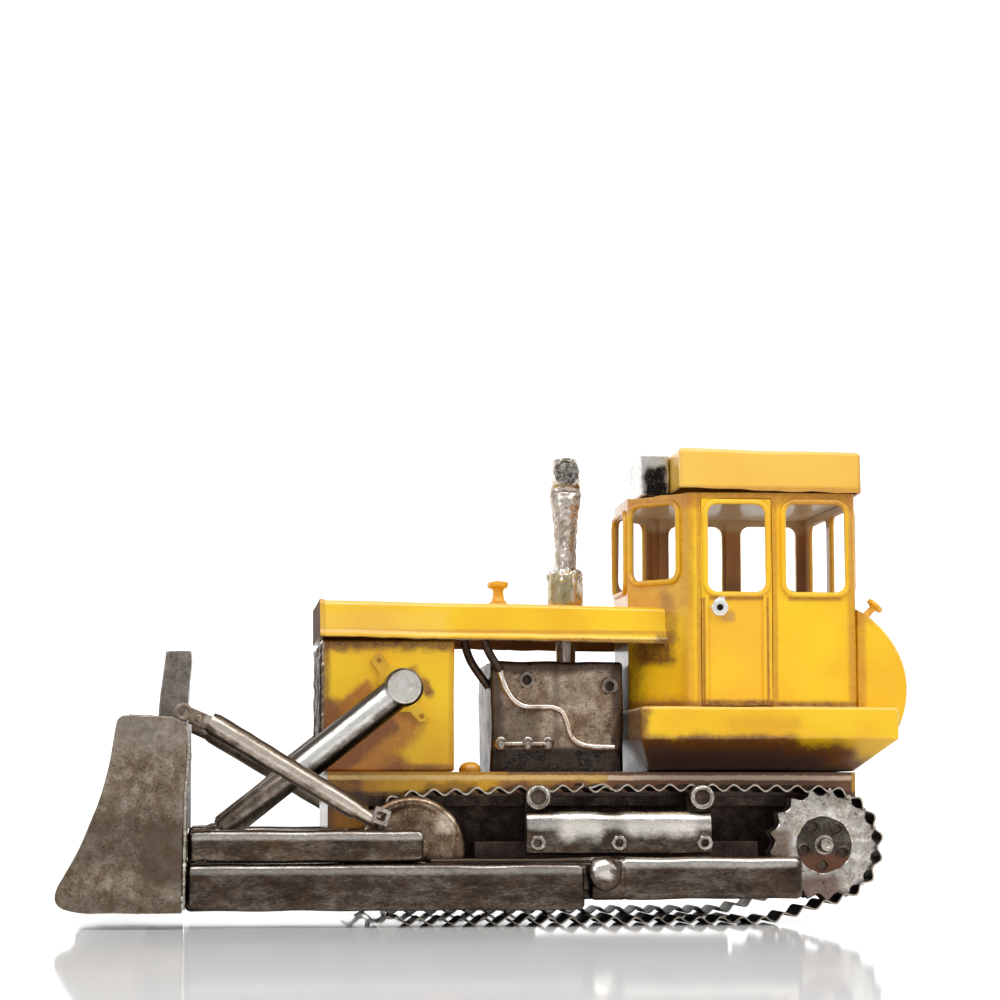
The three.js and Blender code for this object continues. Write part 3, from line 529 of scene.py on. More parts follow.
def pair(name, shape, body, material, stands_for=(), **more):
    """The left piece and its mirrored twin. A body or node with {} gets the side's name."""
    for side, solid in (("left", shape), ("right", shape.mirrored())):
        nodes = [node.format(side) for node in stands_for]
        piece(f"{side}_{name}", solid, body.format(side), material, nodes, **more)


def keep(node, material, bevel=0.5):
    """A CAD node stays, with softened edges and its own material."""
    obj = frame["nodes"][node]
    obj.data.materials.clear()
    obj.data.materials.append(material)
    obj.modifiers.new("weld", "WELD").merge_threshold = 0.01 * MM
    rounding = obj.modifiers.new("edges", "BEVEL")
    rounding.width = bevel * MM
    rounding.segments = 2
    rounding.limit_method = "ANGLE"
    rounding.angle_limit = BEVEL_FROM
    rounding.use_clamp_overlap = True


# ---------------------------------------------------------------- materials
GOLD, AMBER, OCHRE = 0xFACB0C, 0xF3B806, 0xB9761F
# The second of these is the dark brown of painted shade.
UMBER, SHADE_BROWN, CREAM = 0x74441A, 0x2E2019, 0xFBD070
RUST, PLUM, SHINE = 0x8A5220, 0x5C4036, 0xF0EAE2
barrel_lean = math.atan2(0.62322, 0.782046)  # the lift cylinders' slope at rest
trunnion_at = joint_place("left_cylinder_swing")
# Tilts for shades: a centre and an angle about Y.
ALONG_BARREL, ALONG_BRACE = (trunnion_at, barrel_lean), (Vector((-138.5, 0, 97.3)), -0.541)

# Shades are (x0, x1, z0, z1, spread, strength, tone[, tilt[, (y0, y1)]]) in mm, at rest.
hood_paint = paint("hood_paint", (GOLD, AMBER), rust=0.5, shades=[
    # Painted highlight along the rounded top edge; painted shade in the fold over the lip and along the
    # bottom edge.
    (-90, 100, 157.4, 160, 1.6, 0.6, CREAM),
    (-90, 100, 143.4, 144.2, 1.0, 0.5, OCHRE),
    (-90, 100, 138, 139.8, 1.4, 0.75, UMBER),
    (-90, -82.3, 138, 160, 1.0, 0.5, OCHRE),
    (86, 95, 138, 141, 3.0, 0.7, UMBER),
    (-90, -25, 144, 150, 9.0, 0.3, CREAM),
])
radiator_paint = paint("radiator_paint", (GOLD, AMBER), rust=0.9, shades=[
    # Painted shadow along the top, under the hood's lip.
    (-90, -15, 136.5, 142, 5.0, 0.85, UMBER),
    (-90, -15, 70, 76.2, 3.0, 0.8, UMBER),
    (-90, -80.5, 70, 140, 3.0, 0.7, UMBER),
    (-18.6, -15, 70, 140, 2.0, 0.4, OCHRE),
    (-130, -52, 96, 107, 10.0, 1.0, 0xC07C22, ALONG_BARREL),
    (-112, -70, 84, 94, 12.0, 1.0, 0xC07C22, ALONG_BARREL),
    (-130, -58, 102, 106, 5.0, 1.1, RUST, ALONG_BARREL),
    (-104, -70, 78, 86, 9.0, 0.9, RUST, ALONG_BARREL),
    (-130, -56, 122, 126, 4.5, 1.0, 0xB06C20, ALONG_BARREL),
    (-84, -76, 96, 108, 5.0, 0.9, RUST),
    (-35, -33, 104, 118, 4.0, 0.9, RUST, ALONG_BARREL),
])
cab_paint = paint("cab_paint", (GOLD, AMBER), rust=0.6, shades=[
    # Painted shadow under the roof's overhang.
    (60, 200, 209, 216, 6.0, 0.75, OCHRE),
    (60, 200, 104, 107.6, 2.6, 0.8, UMBER),
    (80, 90, 131, 141, 6.0, 0.9, UMBER),
    (72, 77, 104, 146, 6.0, 0.6, UMBER),
    (72, 96, 104, 108, 6.0, 0.6, RUST),
    (89, 91, 141, 162, 5.0, 0.6, RUST),
    # Painted shade on the slanted front walls and at their fold to the side.
    (72, 99, 158, 216, 5.0, 0.4, OCHRE),
    (97, 100, 104, 215, 3.0, 0.35, OCHRE),
    (142.2, 143, 104, 215, 1.6, 0.6, OCHRE),
    (103.6, 104.6, 104, 215, 1.4, 0.6, OCHRE),
    (181, 190, 104, 215, 2.4, 0.6, OCHRE),
    (150, 176, 160.0, 160.6, 1.4, 0.6, OCHRE),
])
door_paint = paint("door_paint", (GOLD, 0xF6B922), rust=0.4, shades=[
    (100, 150, 104, 108.4, 2.4, 0.85, UMBER),
    (105, 106.6, 104, 160, 1.2, 0.7, OCHRE),
    (138.6, 139, 104, 160, 1.0, 0.8, 0xA86C20),
    (110, 136, 160.0, 160.7, 1.2, 0.7, OCHRE),
    (117, 121, 150, 153, 2.6, 0.5, 0xB07A5A),
])
inside_paint = paint("inside_paint", (0xC88C46, 0x9C6A38), rust=0.5, gloss=0.5, shades=[
    (60, 200, 208, 240, 6.0, 0.85, 0xDEC294),
    # Painted shade low down inside.
    (60, 200, 100, 135, 12.0, 0.6, SHADE_BROWN),
])
roof_paint = paint("roof_paint", (0xF0C050, 0xECB63E), rust=0.3, shades=[
    # Painted shade on the front end.
    (80, 92, 205, 240, 2.0, 0.6, 0xD09C54),
    (80, 200, 205, 215.4, 2.0, 0.6, OCHRE),
    # Painted highlight along the top edge.
    (80, 200, 234.4, 240, 1.6, 0.6, CREAM),
    (186, 190, 205, 240, 1.6, 0.5, OCHRE),
])
fender_paint = paint("fender_paint", (GOLD, AMBER), rust=1.0, shades=[
    # Rust and painted shade over the low sloping part, along its knee and bottom, and on the front face.
    (74, 148, 60, 86, 9.0, 1.3, UMBER),
    (120, 176, 60, 81, 12.0, 1.3, UMBER),
    (150, 190, 60, 76, 9.0, 1.2, UMBER),
    (78, 140, 60, 83, 8.0, 1.1, PLUM),
    (110, 164, 60, 78, 9.0, 1.1, PLUM),
    (92, 140, 86, 90, 3.1, 0.8, UMBER),
    (60, 74, 60, 120, 6.0, 0.85, UMBER),
    (60, 196, 60, 75, 3.0, 0.9, SHADE_BROWN),
    (120, 150, 97, 98, 6.0, 0.3, OCHRE),
    # Painted highlight along the top edge.
    (60, 210, 105.4, 110, 1.2, 0.5, CREAM),
])
tank_paint = paint("tank_paint", (GOLD, AMBER), rust=0.4, shades=[
    # Painted shade where the tank meets the cab and along its underside.
    (180, 187, 90, 165, 3.0, 0.6, OCHRE),
    (180, 215, 85, 96, 4.0, 0.7, UMBER),
    (180, 203, 150, 165, 5.0, 0.45, OCHRE),
])
cap_paint = paint("cap_paint", (0xF4B824, 0xE8A622), rust=0.8, gloss=0.4, shades=[
    (-20, 20, 158, 161, 1.6, 0.5, OCHRE),
    (-20, 0, 73, 76, 1.4, 0.6, OCHRE),
])
strap_paint = paint("strap_paint", (GOLD, 0xC8901E), rust=1.0, gloss=0.4)
bare_edge = paint("bare_edge", (0x6A4A30, 0x4C3428), rust=1.0, gloss=0.8, shine=0.05)
frame_paint = paint("frame_paint", (0x95603A, 0x7A4A2C), rust=1.0, gloss=0.36, shades=[
    (-90, 0, 66, 76, 9.0, 1.0, 0xF2B41E),
    (0, 56, 71, 76, 4.0, 0.9, 0xE4AA38),
    (-74, -58, 40, 70, 7.0, 0.65, 0xD88F1C),
    (-90, -66, 60, 72, 6.0, 0.75, UMBER),
    (-30, -8, 62, 67, 4.0, 0.6, UMBER),
    # Painted shade over the top of the rounded upper edge, and a painted highlight just below it.
    (-90, 10, 73, 76, 0.9, 0.7, 0xA8701E),
    (10, 190, 73, 76, 0.9, 0.9, 0x6E4A30),
    (-80, 60, 70.6, 71.6, 1.2, 0.9, 0xFFD488),
    (60, 183, 70.6, 71.6, 1.2, 1.2, 0xFFE0C0),
    (183.4, 190, 58, 76, 0.7, 0.95, 0xE8AE34),
    # Painted shade along the bottom, where the deck meets the tracks.
    (-90, 190, 58, 63, 2.5, 0.8, SHADE_BROWN),
])
blade_steel = steel("blade_steel", (0x423830, 0x8C7D6C, 0xC8BCAC), rough=0.32, size=5,
                    pits=0.5, tint=0x74593F, relief=0.8, shades=[
    (-215, -140, 5, 12, 9.0, 0.35, 0x54463C),
    (-166, -152, 24, 46, 9.0, 0.6, 0x4C3C30),
    (-200, -176, 34, 50, 8.0, 0.4, 0x5A4C40),
    (-185, -155, 88, 97, 9.0, 0.35, 0xC8BEB0),
])
beam_steel = steel("beam_steel", (0x2A221D, 0x52473F, 0x8E8277), rough=0.24, size=6,
                   stretch=(0.4, 1, 1), pits=0.2, tint=0x5E4734, shades=[
    # Painted highlights along the rounded top edges of the beams and the guard rail and on the pivot dome;
    # painted shade on the push beam's top edge.
    (60, 142, 29.4, 31, 2.6, 0.75, SHINE),
    (-150, 40, 26.4, 27.8, 2.2, 0.4, SHINE),
    (-150, 40, 29.4, 33, 1.2, 0.9, 0x4A3E34),
    (16, 104, 47.6, 50.6, 3.1, 0.7, SHINE),
    (34, 46, 46, 50.6, 8.0, 1.1, 0xFFF8EE),
    (66, 92, 48, 50.6, 8.0, 1.1, 0xFFF8EE),
    (46, 51, 25, 29, 3.8, 1.1, SHINE),
])
arm_steel = steel("arm_steel", (0x2E2520, 0x584B41, 0x988A7C), rough=0.25, size=6,
                  stretch=(0.4, 1, 1), pits=0.2, tint=0x6E563C, shades=[
    # A painted highlight just below the top edge, and painted shade on the top edge.
    (-146, -38, 42.4, 43.6, 2.0, 0.6, SHINE),
    (-150, -36, 45.2, 48, 1.0, 0.9, 0x5A4A3E),
])
rod_steel = steel("rod_steel", (0x4A4036, 0x8A7C70, 0xC0B4A8), rough=0.32, size=5)
spill_steel = steel("spill_steel", (0x58514A, 0x8C847C, 0xB8B0A6), rough=0.36, size=5)
barrel_steel = steel("barrel_steel", (0x463D34, 0x8C8378, 0xD8D2C8), rough=0.32, size=5,
                     stretch=(0.5, 1, 0.6), pits=0.2, shades=[
    # A painted highlight band along the middle, and painted shade along the top edge and the underside.
    (-140, -40, 114.8, 118, 3.0, 1.0, 0xF8F6F2, ALONG_BARREL),
    (-140, -40, 120.8, 125, 1.6, 0.85, 0x5C5248, ALONG_BARREL),
    (-140, -36, 102, 109.4, 2.6, 0.9, 0x2E2722, ALONG_BARREL),
])
brace_steel = steel("brace_steel", (0x4E4236, 0x9A8B7C, 0xD2C8BC), rough=0.34, size=5,
                    stretch=(0.4, 1, 0.5), pits=0.2, tint=0x866E58, shades=[
    # A painted highlight band along the middle, and painted shade along the top edge and the underside.
    (-140, -50, 97, 98.8, 2.4, 0.8, 0xE6DACC, ALONG_BRACE),
    (-140, -50, 100.6, 106, 1.4, 0.95, 0x5E5044, ALONG_BRACE),
    (-140, -50, 86, 92.6, 1.6, 0.6, 0x54463A, ALONG_BRACE),
])
silver = steel("silver", (0xA49C94, 0xE8E2DA, 0xFFFDFA), rough=0.3, size=4, pits=0.35)
handle_steel = steel("handle_steel", (0xD8D4D0, 0xF8F6F4, 0xFFFFFF), rough=0.4, size=3,
                     pits=0.3)
exhaust_steel = steel("exhaust_steel", (0x6E6054, 0xC8BAAC, 0xFAF6F0), rough=0.3, size=4,
                      stretch=(1, 1, 0.6), pits=0.4)
stub_steel = steel("stub_steel", (0x8E7462, 0xD2C2B4, 0xF4EEE8), rough=0.3, size=8,
                   stretch=(1, 1, 0.3))
sprocket_steel = steel("sprocket_steel", (0x5A5048, 0xD6CEC4, 0xFFFFFF), rough=0.3,
                       size=3.4, pits=1.0, tint=0xB8A48C, relief=0.9, shades=[
    (140, 168, 8, 20, 6.0, 0.8, 0x6E5040),
    (130, 143, 20, 44, 5.0, 0.75, 0x7A6450),
])
web_steel = steel("web_steel", (0x2E2824, 0x504A45, 0x857D75), rough=0.42, size=4,
                  pits=0.2, tint=0x5E4838, shades=[
    (152, 176, 18, 32, 4.0, 0.8, 0x7A5440),
])
idler_steel = steel("idler_steel", (0x3A2C22, 0x7E6652, 0xB8A28C), rough=0.26, size=6,
                    pits=0.2, tint=0x6A4C38, shades=[
    # A painted highlight on the upper rim.
    (-27, -22, 46, 52, 4.0, 0.8, 0xE0CDB6),
])
engine_steel = steel("engine_steel", (0x46382C, 0xAE9680, 0xE8D8C4), rough=0.32, size=6,
                     pits=0.6, tint=0x86684A, relief=0.8, shades=[
    # Darker along the low band; painted shade on the front face, the rear edge, the top under the hood and
    # along the crease; one darker patch.
    (0, 80, 70, 84.5, 3.0, 0.9, 0x34302E),
    (0, 6, 70, 135, 5.0, 0.7, 0x352B25),
    (66, 75, 70, 135, 4.0, 0.75, 0x352B25),
    (0, 75, 126, 135, 4.0, 0.75, 0x352B25),
    (6, 24, 92, 104, 8.0, 0.5, 0x4A3D33),
    (35, 36, 84, 135, 2.4, 0.35, 0x3C3028),
])
# Dark steel for dark parts, and for painted shade inside open boxes, under overhangs and in bores.
soot_and_shade_steel = steel("soot_and_shade_steel", (0x3A2E28, 0x5E4F47, 0x84766A), rough=0.5, size=8)
# Near-black steel for painted shade in bores and under the machine.
painted_shade_steel = steel("painted_shade_steel", (0x2A221F, 0x4A3E38, 0x685A50), rough=0.5, size=8)
nut_steel = steel("nut_steel", (0x5C5248, 0xB4AA9E, 0xF4EEE6), rough=0.28, size=3)
band_steel = steel("band_steel", (0x1A1512, 0x302924, 0x554B43), rough=0.42, size=5)
edge_steel = steel("edge_steel", (0x8C7C6C, 0xC8BCAC, 0xF0EAE0), rough=0.36, size=4)
filter_steel = steel("filter_steel", (0xA8A4A0, 0xDCD8D4, 0xFAF8F6), rough=0.3, size=5,
                     pits=0.3, shades=[
    (82.5, 90.5, 215, 226, 4.0, 1.1, 0x22201E, None, (-40, -30)),
])
copper_pipe = steel("copper_pipe", (0xA88E7A, 0xECDCCC, 0xFFFAF4), rough=0.24, size=6)
slag_steel = steel("slag_steel", (0x24211E, 0x6E6862, 0xD6D2CC), rough=0.42, size=2.2,
                   pits=0.5)
collar_steel = steel("collar_steel", (0x706A50, 0xD6CCB0, 0xFFF8EC), rough=0.3, size=4,
                     pits=0.3, shades=[
    (30, 60, 150, 160, 3.4, 0.9, 0xD09A2C, None, (-10, 10)),
    (30, 44, 163, 174, 3.4, 0.5, 0x8A7A3C, None, (-10, 10)),
])


def bored(places, radius, material=painted_shade_steel):
    """Painted shade: a dark material in the bores at these (x, z) places, for piece's inside."""
    return material, lambda c, n: any(math.hypot(c.x - x, c.z - z) < radius for x, z in places)


# ---------------------------------------------------------------- deck and hidden structure
keep("main_frame", frame_paint, 0.9)
# Near black under the machine: painted shade.
for inner in ("belly_pan", "left_track_frame", "right_track_frame"):
    keep(inner, painted_shade_steel)
for inner in ("seat", "control_levers"):
    keep(inner, soot_and_shade_steel)
keep("exhaust_stub", stub_steel)
# Dark strips that close the gap under the deck's sides above the tracks: painted shade.
gap_strip = Shape().block((-79, -48.8, 57), (184, -46, 62.4), 0.4, "Y")
piece("frame_gap_shade", gap_strip.add(gap_strip.mirrored()), "chassis", soot_and_shade_steel)

# ---------------------------------------------------------------- radiator and hood
radiator_low, radiator_high = span("radiator_shell")
hood_low, hood_high = span("hood")
HOOD_REAR = hood_high.x + 1.6
SHEET = 1.2


def radiator():
    """Folded box open at the front, with a ragged welded front rim."""
    low, high = radiator_low, radiator_high
    outer = rounded(low.y, high.y, low.z, high.z, 1.6)
    inner = rounded(low.y + SHEET, high.y - SHEET, low.z + SHEET, high.z - SHEET, 0.6)
    rings = [[PLANES["X"](y, z, x) for y, z in ring] for ring, x in (
        (inner, high.x - SHEET), (inner, low.x), (outer, low.x), (outer, high.x - 0.8),
        (rounded(low.y + 0.8, high.y - 0.8, low.z + 0.8, high.z - 0.8, 0.8), high.x))]
    shell = Shape().skin(rings)
    # Its inside faces take the dark steel: painted shade inside the open box.
    piece("radiator_box", shell, "chassis", radiator_paint, ["radiator_shell"], grid=9,
          roughen=dented(38, 0.5, 1), inside=(soot_and_shade_steel, lambda c, n: c.x < high.x - 2 and
                                              abs(c.y) < high.y - 0.9 and low.z + 0.9 < c.z < high.z - 0.9))
    rim = Shape()
    for y in (low.y + 0.4, high.y - 0.4):
        rim.bead([(low.x + 0.2, y, low.z + 1), (low.x + 0.2, y, high.z - 1)], 0.75, y)
    piece("radiator_rim_weld", rim, "chassis", brace_steel)


def grille():
    """Rough upright bars in front of a dark core, tied by two rails."""
    low, high = span("radiator_grille")
    bars = Shape().block((low.x + 6.6, low.y, low.z), (high.x, high.y, high.z), 0.6, "Y")
    count = 9
    for i in range(count):
        y = -36 + i * 9
        bars.block((low.x + 0.2, y - 1.1, low.z + 0.4), (low.x + 7, y + 1.1, high.z - 0.4), 0.5, "Z")
    for z in (low.z + 6, high.z - 6):
        bars.block((low.x + 0.4, -40, z - 1.3), (low.x + 3, 40, z + 1.3), 0.5, "Y")
    piece("grille_bars", bars, "chassis", arm_steel, ["radiator_grille"], grid=4, roughen=dented(5, 0.5, 2))


def hood_outline(grow=0.0):
    """The hood's section with its rolled lips, grown a little for the front flange."""
    half, low, top, corner = hood_high.y - 0.8, hood_low.z, hood_high.z - 0.8, 2.6
    lip = [(-0.4, 0), (0.8, 0.2), (1.0, 1.2), (0.7, 2.3), (0.1, 2.9), (-0.25, 3.8), (0, 5)]
    right = [(half + grow + out, low + rise) for out, rise in lip]
    right += [(half + grow - corner + corner * math.cos(a), top + grow - corner + corner * math.sin(a))
              for a in angles(24)[:7]]
    return [*right, *[(-y, z) for y, z in reversed(right)]]


def hood_beaten(p):
    """Slow waves, a small blister on each side, a ragged lip and a slight sag towards the cab."""
    half = hood_high.y - 0.8
    blister = math.exp(-((p.x - 56.5) / 5) ** 2 - ((p.z - 148.5) / 3.2) ** 2)
    out = math.copysign(0.9 * blister, p.y) if abs(p.y) > half - 0.4 else 0
    edge = 0.35 * noise.noise((p.x / 4.5, p.z, 1.7)) if p.z < hood_low.z + 3 else 0
    sag = 1.2 - 2.7 * (p.x - hood_low.x) / (HOOD_REAR - hood_low.x)
    return dented(42, 0.55, 4)(p) + Vector((0, out, edge + sag))


def hood():
    """Folded channel with a rolled lip, a front flange and a rear end cut to the cab's slanted front."""
    half, low = hood_high.y - 0.8, hood_low.z
    wall, roof = half - SHEET, hood_high.z - 0.8 - SHEET
    hollow = [(-wall, low), (-wall, roof - 1.4), (1.4 - wall, roof), (wall - 1.4, roof), (wall, roof - 1.4),
              (wall, low)]
    channel = Shape().extrude([*hood_outline(), *hollow], hood_low.x + 1, HOOD_REAR, "X")
    front, nose, slope = span("cab_shell")[0].x + 2.1, 25, 25.5 / 35
    for point in channel.points:
        if point.x > HOOD_REAR - 1:
            point.x = min(HOOD_REAR, front + max(0, abs(point.y) - nose) * slope)
    flange = Shape().extrude(hood_outline(0.7), hood_low.x, hood_low.x + 2.4, "X")
    piece("hood_cover", channel, "chassis", hood_paint, ["hood"], bevel=0.35, segments=2, grid=4,
          roughen=hood_beaten,
          inside=(inside_paint, lambda c, n: abs(c.y) < half - 0.6 and n.z < 0.3 and abs(n.x) < 0.7))
    piece("hood_flange", flange, "chassis", hood_paint, bevel=0.35, segments=2, grid=4, roughen=hood_beaten,
          inside=(bare_edge, lambda c, n: n.x < -0.5))
    lumps, rear = Shape(), HOOD_REAR
    for side in (-1, 1):
        lumps.bead([(rear - 4.5, side * (half + 0.7), low + 1), (rear - 0.6, side * (half + 0.9), low + 0.8)],
                   1.0, 3)
        lumps.bead([(rear - 1.6, side * half, low + 1), (rear - 0.9, side * half, low + 6)], 0.7, 5)
    piece("hood_weld", lumps, "chassis", hood_paint)


def filler():
    low, high = span("filler_cap")
    centre = ((low.x + high.x) / 2, (low.y + high.y) / 2, low.z)
    body = Shape().turned([(0, -0.4), (6.3, -0.4), (6.4, 0.6), (5.9, 2.0), (4.4, 3.0), (3.3, 4.2), (2.9, 6),
                           (2.7, 9.2), (3.2, 10.3), (4.9, 10.9), (5.4, 11.6), (5.4, 13.1), (4.8, 13.8),
                           (3.4, 14.0), (0, 14.1)],
                          centre, "Z", 40)
    piece("filler_neck", body, "chassis", cap_paint, ["filler_cap"], grid=2, roughen=dented(4, 0.5, 6))


def deck_dome():
    low, high = span("deck_cap")
    centre = ((low.x + high.x) / 2, (low.y + high.y) / 2, low.z)
    body = Shape().turned([(0, -0.3), (5.2, -0.3), (5.6, 0.6), (5.5, 1.6), (4.8, 3.0), (3.6, 4.1),
                           (2.0, 4.8), (0, 5.0)],
                          centre, "Z", 32)
    piece("deck_dome", body, "chassis", cap_paint, ["deck_cap"], grid=2, roughen=dented(5, 0.5, 8))


radiator()
grille()
hood()
filler()
deck_dome()

# ---------------------------------------------------------------- engine and pipes


ENGINE_HALF = 32


def engine_case():
    """Beaten block with a crease down the middle of each side and a proud foot."""
    low, high = span("engine_block")
    rows = [(SHEET, high.z - SHEET), (SHEET, low.z), (0, low.z), (0, high.z - 2.2), (0.3, high.z - 1.1),
            (1.0, high.z - 0.4), (2.2, high.z)]
    block = Shape().boxed(rows, (low.x, -ENGINE_HALF), (high.x, ENGINE_HALF), 2.4)
    middle = (low.x + high.x) / 2 - 1

    def beaten(p):
        crease = math.exp(-((p.x - middle) / 1.1) ** 2) * 0.3 if p.z > 88 else 0
        foot = 0.7 if p.z < 87 else 0
        out = math.copysign(foot - crease, p.y) if abs(p.y) > ENGINE_HALF - 1 else 0
        return dented(14, 0.8, 3)(p) + Vector((0, out, 0))

    piece("engine_case", block, "chassis", engine_steel, ["engine_block"], grid=3, roughen=beaten)


def engine_fittings():
    """Two nuts and a rail with three loops on each side."""
    face = -ENGINE_HALF
    nuts, rail = Shape(), Shape()
    nuts_at = ((20.5, 120.2), (62.6, 117.3))
    for x, z in nuts_at:
        nuts.nut(x, z, face - 0.2, 8.2, 2.8, 2.1)
    bends = [(5.5, face - 1.2, 88.4), (12, face - 2.2, 88), (20, face - 1.5, 88.2), (27, face - 2.3, 88),
             (33, face - 1.2, 88.6)]
    rail.tube(smooth_path(bends), 1.5)
    for x in (7.3, 20.9, 31):
        loop = [(x + 2.1 * math.cos(a), face - 1.6 - 1.3 * math.sin(a), 88.4 + 2.34 * math.sin(a))
                for a in angles(20)]
        rail.tube(loop, 1.35, 10, closed=True)
        rail.tube([(x, face - 0.2, 88), (x, face - 3.4, 88)], 1.5, 12)
    piece("engine_nuts", nuts.add(nuts.mirrored()), "chassis", rod_steel, inside=bored(nuts_at, 2.05))
    piece("engine_rail", rail.add(rail.mirrored()), "chassis", nut_steel)


def engine_pipes():
    """Two short hoses up to the hood and the bent oil line down the near side."""
    hoses = Shape()
    for y, bends in ((-20, [(-10, 140.5), (-8.2, 134), (-5, 127.5), (2.6, 117)]),
                     (-34.2, [(-1, 140), (0.8, 135), (4.2, 129), (7.4, 124.5)])):
        hoses.tube(smooth_path([(x, y, z) for x, z in bends], 8), 2.1, 16)
    piece("fuel_hoses", hoses, "chassis", soot_and_shade_steel, ["fuel_pipe"])
    route = [(6.4, 126.5), (8, 121), (9.8, 116), (13.9, 110), (18.9, 107), (27, 106.6), (34.1, 106.3),
             (38.7, 103.6), (41.2, 97.6), (43.2, 91.5), (47.3, 88.1), (54.9, 86.6), (64.8, 86.4)]
    pipe = smooth_path([(x, -ENGINE_HALF - 1.9, z) for x, z in route], 8)
    widths = [1.95 - 0.3 * min(1, i / 40) + 0.1 * math.sin(i * 0.5) for i in range(len(pipe))]
    piece("oil_line", Shape().tube(pipe, widths, 14), "chassis", copper_pipe, ["oil_pipe"])


def exhaust_collar(middle):
    """Ragged socket on the hood, with slag round its top and runs of it down the side."""
    low, high = span("exhaust_collar")
    profile = [(6.4, low.z - 1), (9.1, low.z - 1.2), (9.2, low.z + 5), (9.0, high.z - 1.2), (8.4, high.z),
               (6.4, high.z - 0.2)]

    def splash(p):
        torn = p.z > high.z - 6 or p.z < low.z + 2
        return dented(3.2, 0.9, 9)(p) * (1.0 if torn else 0.35)

    socket = Shape().turned(profile, (middle, 0, 0), "Z", 48)
    piece("exhaust_socket", socket, "chassis", collar_steel, ["exhaust_collar"], grid=1.5, roughen=splash)
    weld = Shape()
    ring = [(middle + 7.2 * math.cos(a), 7.2 * math.sin(a), high.z - 0.3 + 0.8 * math.sin(3 * a))
            for a in (*angles(24), TAU)]
    weld.bead(ring, 1.7, 2, 0.8)
    for i, (angle, drop) in enumerate(((-1.9, 5), (-1.2, 7), (-0.6, 4), (1.0, 5), (2.4, 6), (3.0, 4))):
        x, y = middle + 8.9 * math.cos(angle), 8.9 * math.sin(angle)
        weld.bead([(x, y, high.z - 0.6), (x, y, high.z - drop)], 1.0, i, 0.8)
    piece("exhaust_weld", weld, "chassis", silver)


def exhaust_stem(middle, foot, top):
    """Beaten pipe, swollen under its head and cut flat where the mouth is."""
    steps = [(6.2, 161.5), (6.0, 176), (5.6, 184), (5.7, 196), (6.3, 204), (7.2, 210), (7.9, 215),
             (8.0, 218.4), (7.5, 221.5), (7.0, 227), (6.7, 233), (6.4, 235.4), (5.8, top)]
    rows = [(0, foot)]
    for (r0, z0), (r1, z1) in zip(steps, steps[1:]):
        count = max(1, round((z1 - z0) / 0.8))
        rows.extend((r0 + (r1 - r0) * i / count, z0 + (z1 - z0) * i / count) for i in range(count))
    rows.extend([(5.8, top), (0, top)])
    flat, bulge_low, bulge_mid, bulge_high = -5.6, 211.5, 218.6, 221.5

    def formed(p):
        push = 0
        if p.z > bulge_high and p.y < flat:
            push = flat - p.y
        if bulge_mid < p.z <= bulge_high and p.y < 0:
            push = -0.42 * p.y
        if bulge_low < p.z <= bulge_mid and p.y < -1:
            push = 0.22 * (p.z - bulge_low) * min(1, -p.y / 8)
        return Vector((0, push, 0)) + dented(2.2, 0.55, 7)(p) + dented(9, 0.5, 5)(p)

    stem = Shape().turned(rows, (middle, 0, 0), "Z", 56)
    piece("exhaust_stem", stem, "chassis", exhaust_steel, ["exhaust_pipe"], roughen=formed)


def exhaust_mouth(middle):
    """Rough plug in a rim, facing the near side."""
    face, height = -6.0, 229
    mouth = Shape().tube([(middle + 5.9 * math.cos(a), face,
                           height + 6.1 * math.sin(a)) for a in angles(32)], 0.75, 10, closed=True)
    plug = [(0, -1.6), (5.7, -1.6), (5.7, -0.2), *[(r, 0.1) for r in (5.0, 4.2, 3.4, 2.6, 1.8, 1.0)],
            (0, 0.1)]
    mouth.turned(plug, (middle, face, height), "-Y", 40)
    piece("exhaust_mouth", mouth, "chassis", slag_steel, roughen=dented(2.0, 0.7, 12))


def exhaust():
    """Stem in a welded collar, with a short plugged elbow facing the side on top."""
    low, high = span("exhaust_pipe")
    middle = (low.x + high.x) / 2
    exhaust_collar(middle)
    exhaust_stem(middle, low.z, high.z)
    exhaust_mouth(middle)


engine_case()
engine_fittings()
engine_pipes()
exhaust()

# ---------------------------------------------------------------- cab
cab_low, cab_high = span("cab_shell")
PROUD = 1.2  # the CAD window rims stand this far off the walls
FOLD = 2.6
CAB = {"front": cab_low.x + PROUD, "rear": cab_high.x - PROUD, "half": cab_high.y - PROUD,
       "floor": cab_low.z, "top": cab_high.z}
nose, shoulder = 25, CAB["front"] + 25.5
PLAN = [Vector(p) for p in ((CAB["front"], -nose), (shoulder, -CAB["half"]), (CAB["rear"], -CAB["half"]),
                            (CAB["rear"], CAB["half"]), (shoulder, CAB["half"]), (CAB["front"], nose))]
door_low, door_high = span("left_door")


def wall_frame(i):
    """Start, direction, outward normal and length of wall i."""
    start, end = PLAN[i], PLAN[(i + 1) % len(PLAN)]
    along = (end - start).normalized()
    return start, along, Vector((along.y, -along.x)), (end - start).length


def on_wall(i, u, z, out=0.0):
    start, along, normal, _ = wall_frame(i)
    place = start + along * u + normal * out
    return Vector((place.x, place.y, z))


def window(i, u0, u1, z0, z1):
    return i, rounded(u0, u1, z0, z1, 5)


def mirror_window(i, loop, length):
    """The same opening on the wall's twin across the machine, whose run goes the other way."""
    twin = {0: 4, 1: 3}[i]
    return twin, [(length - u, z) for u, z in reversed(loop)]


def cab_windows():
    side = 163.4
    left = [window(1, 148 - shoulder, 178.6 - shoulder, side, 208), window(0, 3.2, 35.2, 170.4, 208)]
    middle = CAB["half"]
    across = [window(5, nose - 19.5, nose + 19.5, 167, 206),
              window(2, middle - 50, middle - 3.4, side, 207),
              window(2, middle + 3.4, middle + 50, side, 207)]
    right = [mirror_window(i, loop, wall_frame(i)[3]) for i, loop in left]
    return [*left, *across, *right]


